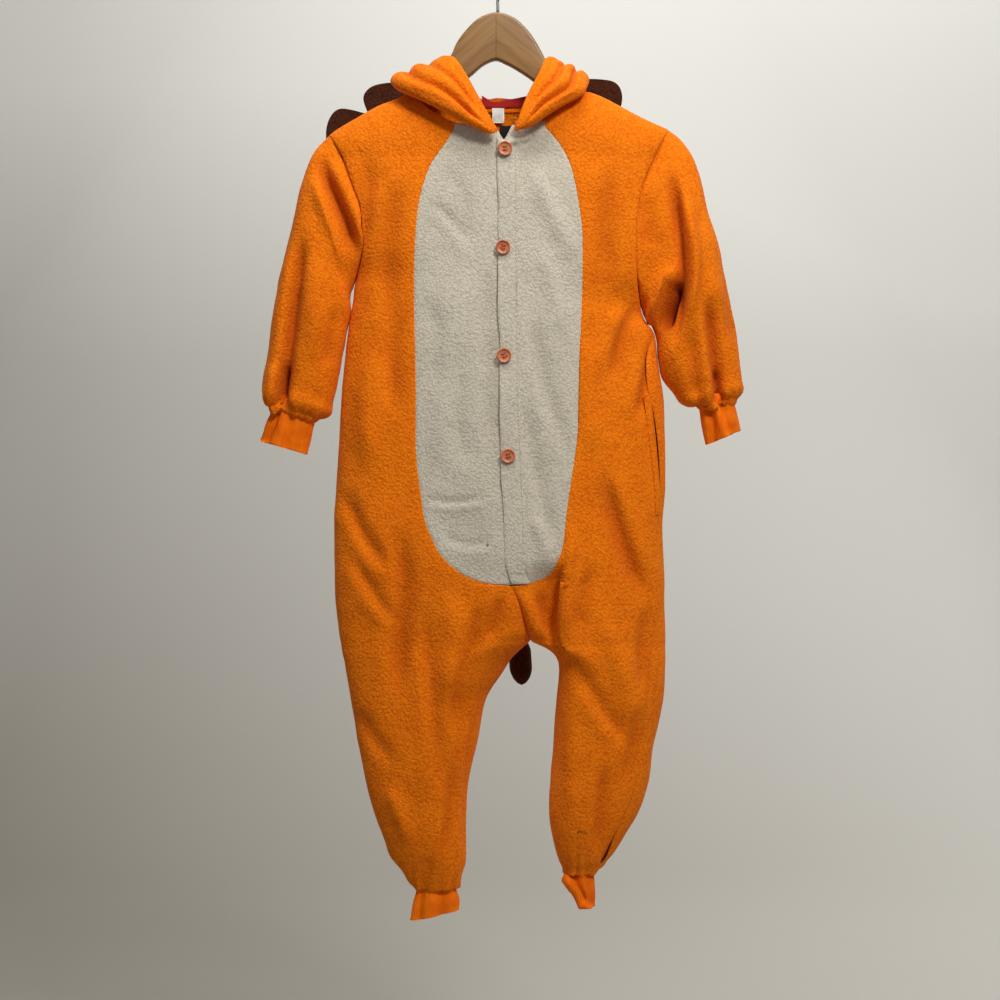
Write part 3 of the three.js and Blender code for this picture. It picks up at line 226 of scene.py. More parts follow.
HOOD_A = table('a nx nz ny ex ez ey cx cz cy rise', [
  [0, -11.5, -196.8, -40, 1, -190.5, -42, -5.5, -195.8, -46, 0], [1, -20.4, -190.4, -38, -9.6, -172.4, -40, -20.3, -185.3, -50, 0],
  [2, -44.3, -177.9, -35, -22.7, -148.4, -34, -40.7, -170.3, -50, 0], [3, -68.4, -160.3, -24, -35.7, -124.3, -28, -70.9, -154.4, -46, 0],
  [4, -86.3, -147, -13, -44.7, -108.6, -17, -100.5, -139.8, -34, 0], [4.5, -91, -143.2, -6, -49.2, -104.7, -12, -112.2, -130, -17, 0],
  [5, -95.7, -140.8, 0, -57.2, -103.4, 0, -113, -124, -1, 0.15], [5.5, -94.1, -139.2, 12, -55.5, -103.9, 16, -101, -124.5, 18, 0.5],
  [6, -92, -150, 28.5, -54, -122, 34, -103, -166, 42, 0.8], [7, -76, -154, 30, -62, -150, 60, -148, -224, 50, 1],
  [8, -54, -156.5, 29, -58, -180, 82, -138, -290, 56, 1], [9, -27, -157.2, 28, -36, -200, 92, -92, -345, 60, 1],
  [10, -0.2, -157.5, 27.6, -0.2, -210, 95, -0.2, -372, 62, 1]])
HOOD_B = table('a nx nz ny ex ez ey cx cz cy rise', [
  [0, 30, -191.8, -40, 17.8, -189.4, -42, 24, -192.4, -46, 0], [1, 41, -186.2, -38, 25, -172.4, -40, 34.5, -182.5, -50, 0],
  [2, 53.5, -175.5, -34, 35, -148.4, -34, 49, -168.3, -50, 0], [3, 70, -160.3, -24, 46, -124.3, -28, 70.5, -154.1, -45, 0],
  [4, 87.4, -147, -13, 51, -110.8, -17, 89.8, -140.7, -33, 0], [4.5, 92.1, -141.1, -6, 53.6, -106.9, -12, 92, -128.5, -18, 0],
  [5, 97.9, -137.5, 0, 60.5, -104.5, 0, 94.5, -120.4, -2, 0.15], [5.5, 97.4, -139.2, 12, 58.7, -103.9, 16, 92, -124.5, 18, 0.5],
  [6, 92, -150, 28.5, 54, -122, 34, 98, -166, 42, 0.8], [7, 76, -154, 30, 62, -150, 60, 148, -224, 50, 1],
  [8, 54, -156.5, 29, 58, -180, 82, 138, -290, 56, 1], [9, 27, -157.2, 28, 36, -200, 92, 92, -345, 60, 1],
  [10, 0.2, -157.5, 27.6, 0.2, -210, 95, 0.2, -372, 62, 1]])
NECK_FRONT_A = table('f z y', [
  [0, -186.5, -30], [0.13, -183.5, -29.5], [0.27, -179, -27], [0.4, -165, -18], [0.53, -144.5, 0], [0.62, -151, 0], [0.71, -157.5, 0],
  [0.83, -170, 0], [0.95, -183, 0], [1, -189.5, 0]])
NECK_FRONT_B = table('f z y', [
  [0, -186.5, -30], [0.13, -183, -29.5], [0.27, -177, -26], [0.38, -160, -17], [0.5, -141.5, 0], [0.6, -147, 0], [0.71, -157.5, 0],
  [0.83, -169.5, 0], [0.94, -179, 0], [1, -183.7, 0]])
NECK_BACK_A = table('f z y', [
  [0, -158, 24], [0.15, -157, 24], [0.3, -154, 21], [0.42, -149, 12], [0.53, -144.5, 0], [0.62, -151, 0], [0.71, -157.5, 0], [0.83, -170, 0],
  [0.95, -183, 0], [1, -189.5, 0]])
NECK_BACK_B = table('f z y', [
  [0, -158, 24], [0.15, -157, 24], [0.3, -153, 21], [0.4, -147, 12], [0.5, -141.5, 0], [0.6, -147, 0], [0.71, -157.5, 0], [0.83, -169.5, 0],
  [0.94, -179, 0], [1, -183.7, 0]])
LIN = table('x low high', [
  [-17, -153.2, -140.5], [-3, -153.6, -147.4], [10, -153.2, -145], [22, -152.6, -143.5], [35, -151.8, -140.5]])
bagRows = table('x y z tall thick tilt', [
  [163, -12, -528, 52, 6, -0.1], [140, -14, -534, 58, 7, -0.06], [112, -16, -545, 66, 8, 0], [84, -17, -556, 66, 7.5, 0], [62, -17, -560, 52, 6, 0],
  [52, -17, -560, 30, 3.4, 0]])
BUTTONS = table('x z t', [
  [8.7, -207.9, 0.9], [6.5, -315.7, 4], [7.6, -434.5, 7.33], [11.9, -543.4, 9.52]])
HANGER_TOP = table('x z', [
  [-172, -190], [-150, -181], [-128, -169], [-100, -159.5], [-92, -155.5], [-84, -149.5], [-72, -132], [-57, -112], [-50, -101], [-44, -88],
  [-34, -74.5], [-20, -61.5], [-1, -55], [18, -60.5], [32, -72.5], [42, -86], [50, -100.5], [56, -112], [70, -130], [82, -147.5], [90, -154],
  [98, -158.5], [128, -169], [152, -181], [176, -188]])
HANGER_LOW = table('x z', [
  [176, -202], [150, -197], [120, -183], [90, -166], [60, -146], [30, -123], [10, -111.5], [-1, -107.3], [-12, -111], [-29, -124.5], [-60, -146],
  [-90, -166], [-120, -183], [-150, -197], [-172, -203]])
MANE_PATH = {
    'a': table('s x y z', [[0, -86, 56, -122], [0.06, -104, 56, -146], [0.11, -118, 56, -165], [0.17, -141, 56, -181], [0.23, -156, 57, -206], [0.3, -160, 57, -238], [0.42, -156, 57, -276], [0.55, -137, 58, -315], [0.7, -100, 60, -344], [0.85, -53, 62, -363], [1, -1, 64, -371]]),
    'b': table('s x y z', [[0, 72, 56, -119], [0.06, 90, 56, -143], [0.11, 105, 57, -163], [0.17, 122, 58, -190], [0.24, 141, 59, -222], [0.31, 153, 58.5, -250], [0.42, 155, 57, -280], [0.55, 137, 58, -316], [0.7, 100, 60, -344], [0.85, 53, 62, -363], [1, 1, 64, -371]])}
CUFF_ROWS = {
    'wrist_cuff_a': table('ox oz ux uz half', [[-240, -476, -193, -493, 13], [-243.6, -484.6, -197.9, -500.5, 14.5], [-251, -503, -203, -519.5, 16.5], [-259.6, -525.8, -207.9, -541.2, 15.5]]),
    'wrist_cuff_b': table('ox oz ux uz half', [[258, -472, 217, -477, 13], [260.8, -480.7, 221, -485.7, 14.5], [265, -497, 224.5, -508, 16.5], [267.9, -514.8, 229.9, -530.2, 15]]),
    'ankle_cuff_a': table('ox oz ux uz half', [[-86, -1009, -47, -1008, 8], [-87.4, -1017, -45.9, -1016, 9.4], [-91.5, -1033, -41.5, -1028, 12], [-94.6, -1052.7, -40.7, -1040.6, 11.5]]),
    'ankle_cuff_b': table('ox oz ux uz half', [[104, -993, 78, -993, 9], [105.5, -1000, 76.6, -1000.5, 10.2], [107, -1012, 71, -1009, 13.5], [108, -1024, 83.5, -1022, 13], [107.6, -1037, 92, -1039, 12]])}

# ---------------------------------------------------------------- curves over tables
def slopes(x, y):
    h = np.diff(x); s = np.diff(y) / h
    m = np.zeros_like(y)
    for i in range(1, len(x) - 1):
        if s[i - 1] * s[i] > 0:
            d = (h[i - 1] * s[i] + h[i] * s[i - 1]) / (h[i - 1] + h[i])
            m[i] = math.copysign(min(abs(d), 3 * abs(s[i - 1]), 3 * abs(s[i])), d)
    m[0], m[-1] = s[0], s[-1]
    return m


_slopes = {}
def at(T, key, col, v):
    """Smooth interpolation of one column over the key column."""
    x, y = T[key], T[col]
    if x[0] > x[-1]:
        x, y = x[::-1], y[::-1]
    k = (id(T), key, col)
    if k not in _slopes:
        _slopes[k] = (slopes(x, y), T)
    m = _slopes[k][0]
    v = np.clip(v, x[0], x[-1])
    i = np.clip(np.searchsorted(x, v, side='right') - 1, 0, len(x) - 2)
    h = x[i + 1] - x[i]; s = (v - x[i]) / h
    s2, s3 = s * s, s * s * s
    return (2 * s3 - 3 * s2 + 1) * y[i] + (s3 - 2 * s2 + s) * h * m[i] + (3 * s2 - 2 * s3) * y[i + 1] + (s3 - s2) * h * m[i + 1]


def smooth(a, b, v):
    s = np.clip((v - a) / (b - a), 0, 1)
    return s * s * (3 - 2 * s)


def mix(a, b, s):
    return a + (b - a) * s


def catmull(C, u, axis=0):
    """Points along control rows C[k], at u 0..1 of the mean chord length."""
    C = np.moveaxis(C, axis, 0)
    seg = np.linalg.norm(np.diff(C, axis=0), axis=-1)
    while seg.ndim > 1:
        seg = seg.mean(axis=-1)
    seg = np.maximum(seg, 1e-3)
    x = np.concatenate([[0], np.cumsum(seg)]); v = np.clip(u, 0, 1) * x[-1]
    h = np.diff(x)
    s = np.diff(C, axis=0) / h.reshape((-1,) + (1,) * (C.ndim - 1))
    m = np.zeros_like(C); m[0], m[-1] = s[0], s[-1]
    for i in range(1, len(x) - 1):
        m[i] = (h[i - 1] * s[i] + h[i] * s[i - 1]) / (h[i - 1] + h[i])
    i = np.clip(np.searchsorted(x, v, side='right') - 1, 0, len(x) - 2)
    hh = h[i]; t = (v - x[i]) / hh
    sh = (-1,) + (1,) * (C.ndim - 1)
    t, hh = t.reshape(sh), hh.reshape(sh)
    out = (2 * t**3 - 3 * t**2 + 1) * C[i] + (t**3 - 2 * t**2 + t) * hh * m[i] + (3 * t**2 - 2 * t**3) * C[i + 1] + (t**3 - t**2) * hh * m[i + 1]
    return np.moveaxis(out, 0, axis)


def noise(p, cell, seed):
    """Smooth value noise, -1..1."""
    q = p / cell; i = np.floor(q).astype(np.int64); f = q - i; f = f * f * (3 - 2 * f)
    out = np.zeros(p.shape[:-1])
    for a in (0, 1):
        for b in (0, 1):
            for c in (0, 1):
                h = ((i[..., 0] + a) * 73856093) ^ ((i[..., 1] + b) * 19349663) ^ ((i[..., 2] + c) * 83492791) ^ (seed * 2654435761)
                h = (h & 0xffffffff); h = ((h ^ (h >> 15)) * 2246822519) & 0xffffffff; h = ((h ^ (h >> 13)) * 3266489917) & 0xffffffff; h = h ^ (h >> 16)
                w = (f[..., 0] if a else 1 - f[..., 0]) * (f[..., 1] if b else 1 - f[..., 1]) * (f[..., 2] if c else 1 - f[..., 2])
                out += (h / 2147483648.0 - 1) * w
    return out


# ---------------------------------------------------------------- the suit's surface
class Side:
    def __init__(s, key, sign, rows, neck_f, neck_b, belly, tip):
        s.key, s.sign, s.rows, s.nf, s.nb, s.belly, s.tip = key, sign, rows, neck_f, neck_b, belly, tip


A = Side('a', -1, BODY_A, NECK_FRONT_A, NECK_BACK_A, BELLY_A, -184.8)
B = Side('b', 1, BODY_B, NECK_FRONT_B, NECK_BACK_B, BELLY_B, 189.2)


def body(S, t, w, lift=0.0):
    t, w = np.broadcast_arrays(np.asarray(t, float), np.asarray(w, float))
    q = np.where(w < 0, -w, np.where(w > 2, w - 2, np.where(w > 1, 2 - w, w)))
    face = np.where(w < 0, 1, np.where(w > 2, -1, np.where(w > 1, 1, -1)))
    T = S.rows; tt = np.maximum(t, 1)
    g = lambda c: at(T, 't', c, tt)
    ix, iz, sx, sz, edge, close = g('ix'), g('iz'), g('sx'), g('sz'), g('edge'), np.clip(g('close'), 0, 1)
    depth = np.where(face < 0, g('front'), g('back'))
    fa = np.sin(PI * q / 2) ** POWER; fb = (1 - np.cos(PI * q)) / 2
    f = mix(fa, fb, smooth(11, 17, t))
    x = mix(ix, sx, f); z = mix(iz, sz, f)
    roll = mix(0.2, 0.5, smooth(16, 23, t)) * np.sqrt(close)
    side = np.maximum(0, 1 - np.minimum(1, f) ** (2 / POWER)) ** (POWER / 2); seam = 1 - close
    e = np.where(f < roll, np.sqrt(np.maximum(0, 1 - (1 - f / np.maximum(roll, 1e-6)) ** 2)), 1)
    y0 = edge + (depth - edge) * side
    y1 = depth * (seam + (np.maximum(side, seam) - seam) * e) * np.where(side < seam, side / np.maximum(seam, 1e-6), 1)
    y = np.where(close > 0, y1, y0)
    k = np.clip(t, 0, 1)
    ez = np.where(face < 0, at(S.nf, 'f', 'z', fa), at(S.nb, 'f', 'z', fa))
    ey = np.abs(np.where(face < 0, at(S.nf, 'f', 'y', fa), at(S.nb, 'f', 'y', fa)))
    top = t < 1
    x = np.where(top, mix(mix(2.2, S.tip, fa), x, k), x)
    z = np.where(top, mix(ez, z, k), z)
    y = np.where(top, ey + (y - ey) * np.sqrt(np.maximum(0, 1 - (1 - k) ** 2)), y)
    tuck, drop = np.maximum(g('tuck'), 0), np.maximum(g('drop'), 0)
    on = (face < 0) & (tuck > 0.01) & (x > ix)
    p = (x - FOLD_X) / FOLD_SOFT
    y = np.where(on, y - drop * smooth(0, 1, (x - ix) / np.maximum(FOLD_X - ix - FOLD_SOFT, 1)) * (0.5 - 0.5 * np.tanh(1.5 * p)), y)
    x = np.where(on, x - tuck * 1.3 * p * np.exp(-p * p * 0.9), x)
    return np.stack([x, face * (y + lift), z], -1)


def w_at_x(S, t, xof):
    t = np.asarray(t, float)
    lo, hi = np.zeros_like(t), np.ones_like(t)
    for _ in range(28):
        m = (lo + hi) / 2; p = body(S, t, m); x = xof(p[..., 2], t)
        less = S.sign * (p[..., 0] - x) < 0
        lo = np.where(less, m, lo); hi = np.where(less, hi, m)
    return (lo + hi) / 2


def centre(t):
    return at(BODY_A, 't', 'ix', np.maximum(t, 1))


def rows_along(S, t0, t1, w, step=CELL, extra=()):
    """Row places t, a grid step apart along the surface, finer at both ends."""
    tt = np.linspace(t0, t1, 3000); P = body(S, tt, w)
    c = np.concatenate([[0], np.cumsum(np.linalg.norm(np.diff(P, axis=0), axis=-1))]); L = c[-1]
    e = EDGE; n = int(round((L - 2 * e[-1]) / step))
    d = np.concatenate([e[:-1], np.linspace(e[-1], L - e[-1], n), L - e[:-1][::-1]])
    t = np.interp(d, c, tt)
    for a, b, s in extra:
        t = np.concatenate([t[(t < a - s / 2) | (t > b + s / 2)], np.arange(a, b + 1e-9, s)])
    return np.sort(t)


def across(fun, w0, w1, step=CELL, cols=None):
    """Columns at even lengths between w0 and w1 on every row, finer at both edges."""
    K = 220
    W = w0[:, None] + (w1 - w0)[:, None] * np.linspace(0, 1, K)
    P = fun(W)
    c = np.concatenate([np.zeros((len(w0), 1)), np.cumsum(np.linalg.norm(np.diff(P, axis=1), axis=-1), axis=1)], 1)
    L = c[:, -1]
    m = cols or int(round(np.percentile(L, 90) / step))
    D = []
    for l in L:
        e = EDGE * min(1, l / 14)
        D.append(np.concatenate([e[:-1], np.linspace(e[-1], l - e[-1], m), l - e[:-1][::-1]]))
    D = np.array(D)
    Wn = np.array([np.interp(D[i], c[i], W[i]) for i in range(len(L))])
    return fun(Wn), Wn


ALLOW = 1.6                      # cloth turned in past a seam line


# ---------------------------------------------------------------- cloth from a grid
def grid_normals(P, loop=False, flip=1):
    if loop:
        Q = np.concatenate([P[:, -1:], P, P[:, :1]], 1); du = Q[:, 2:] - Q[:, :-2]
    else:
        du = np.gradient(P, axis=1)
    dv = np.gradient(P, axis=0)
    n = np.cross(du, dv); l = np.linalg.norm(n, axis=-1, keepdims=True)
    return flip * n / np.maximum(l, 1e-9)


def edge_distance(P, loop=False):
    du = np.linalg.norm(np.diff(P, axis=1), axis=-1); dv = np.linalg.norm(np.diff(P, axis=0), axis=-1)
    cu = np.concatenate([np.zeros((P.shape[0], 1)), np.cumsum(du, 1)], 1); cv = np.concatenate([np.zeros((1, P.shape[1])), np.cumsum(dv, 0)], 0)
    big = np.full(P.shape[:2], 1e3)
    return {'u0': big if loop else cu, 'u1': big if loop else cu[:, -1:] - cu, 'v0': cv, 'v1': cv[-1:] - cv}, cu, cv


def blur(a, n, loop=False):
    for _ in range(n):
        p = np.pad(a, ((1, 1), (0, 0)), mode='edge'); a = (p[:-2] + 2 * p[1:-1] + p[2:]) / 4
        p = np.pad(a, ((0, 0), (1, 1)), mode='wrap' if loop else 'edge'); a = (p[:, :-2] + 2 * p[:, 1:-1] + p[:, 2:]) / 4
    return a


areas = {}
def cloth(name, P, wall, flip=1, loop=False, seams='', hems='', move=None, wave=1.0, seed=1, dip=None, inner_flat=False, puff=None):
    """A closed thin shell on the grid P. seams and hems name its edges (u0 u1 v0 v1)."""
    d, cu, cv = edge_distance(P, loop)
    if isinstance(flip, tuple):              # the way the cloth's right side looks
        flip = 1 if (grid_normals(P, loop) @ np.array(flip, float)).mean() > 0 else -1
    elif flip == 'out':
        flip = 1 if ((P - P.mean(1, keepdims=True)) * grid_normals(P, loop)).sum() > 0 else -1
    N = grid_normals(P, loop, flip)
    off = np.zeros(P.shape[:2])
    near = np.full(P.shape[:2], 1e3)
    for e in seams.split() + hems.split():
        near = np.minimum(near, d[e])
    if wave:
        keep = smooth(0, 25, near)
        off += wave * keep * (1.5 * noise(P, 62, seed) + .8 * noise(P, 27, seed + 9) + .3 * noise(P, 12, seed + 17))
    deep = np.zeros(P.shape[:2])
    if move is not None:
        moved = move(P, N, near); off = off + moved
        # Painted shade: how deep each point sits in a crease trough, 0 to 3; the fleece darkens its colour by it.
        deep = np.clip(-blur(moved, 2, loop) / 14, 0, 3)
    P = P + N * off[..., None]
    N = grid_normals(P, loop, flip)
    areas[name] = float(np.linalg.norm(np.cross(P[1:, 1:] - P[:-1, :-1], P[1:, :-1] - P[:-1, 1:]), axis=-1).sum() / 2 / 1e6)
    dep = SEAM_DIP if dip is None else dip
    out = np.zeros(P.shape[:2]); inn = np.full(P.shape[:2], float(wall))
    if puff is not None:
        out += puff; inn += puff
    for e in seams.split():
        out -= (dep.get(e, SEAM_DIP) if isinstance(dep, dict) else dep) * np.exp(-(d[e] / SEAM_WIDE) ** 2)
    for e in hems.split():
        r = wall / 2 * 1.4; k = wall / 2 * (1 - np.sqrt(np.maximum(0, 1 - np.clip(1 - d[e] / r, 0, 1) ** 2)))
        out -= k; inn -= k
    for e in seams.split():                  # the seam's allowance, turned in under the neighbour
        ax = 1 if e[0] == 'u' else 0; first = e[1] == '0'
        mv = lambda a: np.moveaxis(a, ax, 0)
        Q, Nn, o_, i_, u_, v_ = mv(P), mv(N), mv(out), mv(inn), mv(cu), mv(cv)
        k0, k1 = (0, 2) if first else (-1, -3)
        t = Q[k0] - Q[k1]; t = t / np.maximum(np.linalg.norm(t, axis=-1, keepdims=True), 1e-6)
        j = lambda a, b: np.moveaxis(np.concatenate([b[None], a] if first else [a, b[None]]), 0, ax)
        D_ = mv(deep)
        P, N, out, inn, cu, cv, deep = (j(Q, Q[k0] + t * ALLOW), j(Nn, Nn[k0]), j(o_, o_[k0] - ALLOW * .45), j(i_, i_[k0] + .4), j(u_, u_[k0]), j(v_, v_[k0]), j(D_, D_[k0]))
    O = P + N * out[..., None]; I = P - N * inn[..., None]
    ob = shell(name, O, I, loop, flip, cu, cv)
    # The crease depth goes on the mesh as a point attribute that drives the fleece's painted crease shade.
    at_ = ob.data.attributes.new('fold', 'FLOAT', 'POINT'); at_.data.foreach_set('value', np.concatenate([deep.ravel(), deep.ravel()]).astype(np.float32))
    return ob


def shell(name, O, I, loop, flip, cu, cv):
    n, m = O.shape[:2]
    V = np.concatenate([O.reshape(-1, 3), I.reshape(-1, 3)]) * 0.001
    ids = np.arange(n * m).reshape(n, m)
    if loop:
        ids2 = np.concatenate([ids, ids[:, :1]], 1)
    else:
        ids2 = ids
    a, b, c, e = ids2[:-1, :-1], ids2[:-1, 1:], ids2[1:, 1:], ids2[1:, :-1]
    q = np.stack([a, b, c, e], -1).reshape(-1, 4); k = n * m
    faces = [q, q[:, ::-1] + k]
    r0, r1 = ids2[0], ids2[-1]
    faces.append(np.stack([r0[1:], r0[:-1], r0[:-1] + k, r0[1:] + k], -1))
    faces.append(np.stack([r1[:-1], r1[1:], r1[1:] + k, r1[:-1] + k], -1))
    if not loop:
        c0, c1 = ids[:, 0], ids[:, -1]
        faces.append(np.stack([c0[:-1], c0[1:], c0[1:] + k, c0[:-1] + k], -1))
        faces.append(np.stack([c1[1:], c1[:-1], c1[:-1] + k, c1[1:] + k], -1))
    F = np.concatenate(faces)
    if flip < 0:
        F = F[:, ::-1]
    uv = np.stack([cu, cv], -1).reshape(-1, 2) * 0.001
    uv = np.concatenate([uv, uv])
    return make(name, V, F, uv)


def make(name, V, F, uv=None, smooth_=True):
    me = bpy.data.meshes.new(name)
    F = np.asarray(F)
    me.vertices.add(len(V)); me.vertices.foreach_set('co', np.ascontiguousarray(V, dtype=np.float32).ravel())
    nl = F.shape[1]
    me.loops.add(F.size); me.loops.foreach_set('vertex_index', F.astype(np.int32).ravel())
    me.polygons.add(len(F)); me.polygons.foreach_set('loop_start', np.arange(0, F.size, nl, dtype=np.int32)); me.polygons.foreach_set('loop_total', np.full(len(F), nl, dtype=np.int32))
    me.update(calc_edges=True)
    if uv is not None:
        L = me.uv_layers.new(name='lay'); L.data.foreach_set('uv', uv[F.ravel()].astype(np.float32).ravel())
    me.validate()
    me.polygons.foreach_set('use_smooth', np.ones(len(me.polygons), dtype=bool)); me.update()
    ob = bpy.data.objects.new(name, me); bpy.context.scene.collection.objects.link(ob)
    return ob


# ---------------------------------------------------------------- folds, placed one by one
# On the front view's grid: u to the right, v down, one unit is 1.1 mm at the hanger's plane.
def to_view(P):
    f = (2000 + P[..., 1]) / 2000
    return 500 + (P[..., 0] - 3.3) / 1.1 / f, 500 - (P[..., 2] + 590.7) / 1.1 / f


FOLD_SCALE = 2.0


def crease(u, v, pts, wide, deep, lip=0.0, ends=(0, 0)):
    """Trough (deep > 0) or ridge (deep < 0) along a line, with a raised lip on one side."""
    pts = np.asarray(pts, float)
    dense = catmull(pts, np.linspace(0, 1, 14)) if len(pts) > 2 else catmull(np.array([pts[0], (pts[0] + pts[1]) / 2, pts[1]]), np.linspace(0, 1, 6))
    seg = np.diff(dense, axis=0); ln = np.linalg.norm(seg, axis=1); tot = ln.sum(); start = np.concatenate([[0], np.cumsum(ln)])[:-1]
    lo = dense.min(0) - 5 * wide; hi = dense.max(0) + 5 * wide
    out = np.zeros(u.shape)
    sel = (u > lo[0]) & (u < hi[0]) & (v > lo[1]) & (v < hi[1])
    if not sel.any():
        return out
    U, Vv = u[sel], v[sel]
    best = np.full(U.shape, 1e9); sg = np.zeros(U.shape); s = np.zeros(U.shape)
    for i in range(len(seg)):
        dx, dy = U - dense[i, 0], Vv - dense[i, 1]
        k = np.clip((dx * seg[i, 0] + dy * seg[i, 1]) / ln[i] ** 2, 0, 1)
        ex, ey = dx - k * seg[i, 0], dy - k * seg[i, 1]; dd = np.hypot(ex, ey)
        m = dd < best
        best = np.where(m, dd, best); sg = np.where(m, np.sign(seg[i, 0] * dy - seg[i, 1] * dx), sg); s = np.where(m, (start[i] + k * ln[i]) / tot, s)
    fade = np.ones(U.shape)
    fade *= smooth(0, .30, s) if not ends[0] else 1
    fade *= smooth(0, .30, 1 - s) if not ends[1] else 1
    deep = deep * FOLD_SCALE
    sd = best * sg * np.sign(lip) if lip else best
    w_ = np.where(sd > 0, wide * (1 - .75 * min(abs(lip), .5)), wide * (1 + .3 * min(abs(lip), .5))) if lip else wide
    h = -deep * np.exp(-(best / w_) ** 2)
    if lip:
        h = h + deep * abs(lip) * np.exp(-((sd - 1.6 * wide) / wide) ** 2)
    out[sel] = h * fade
    return out


def folds(names, back=False):
    """Sum of the folds listed under these names, for the points that face the viewer (or the back)."""
    def f(P, N, near):
        u, v = to_view(P)
        side = (N[..., 1] if back is True else -N[..., 1])
        w = smooth(.05, .35, side)
        tot = np.zeros(u.shape)
        for nm in names:
            for row in FOLDS.get(nm, []):
                tot = tot + crease(u, v, *row)
        tot = tot * w
        if back is None:
            pass
        return tot
    return f


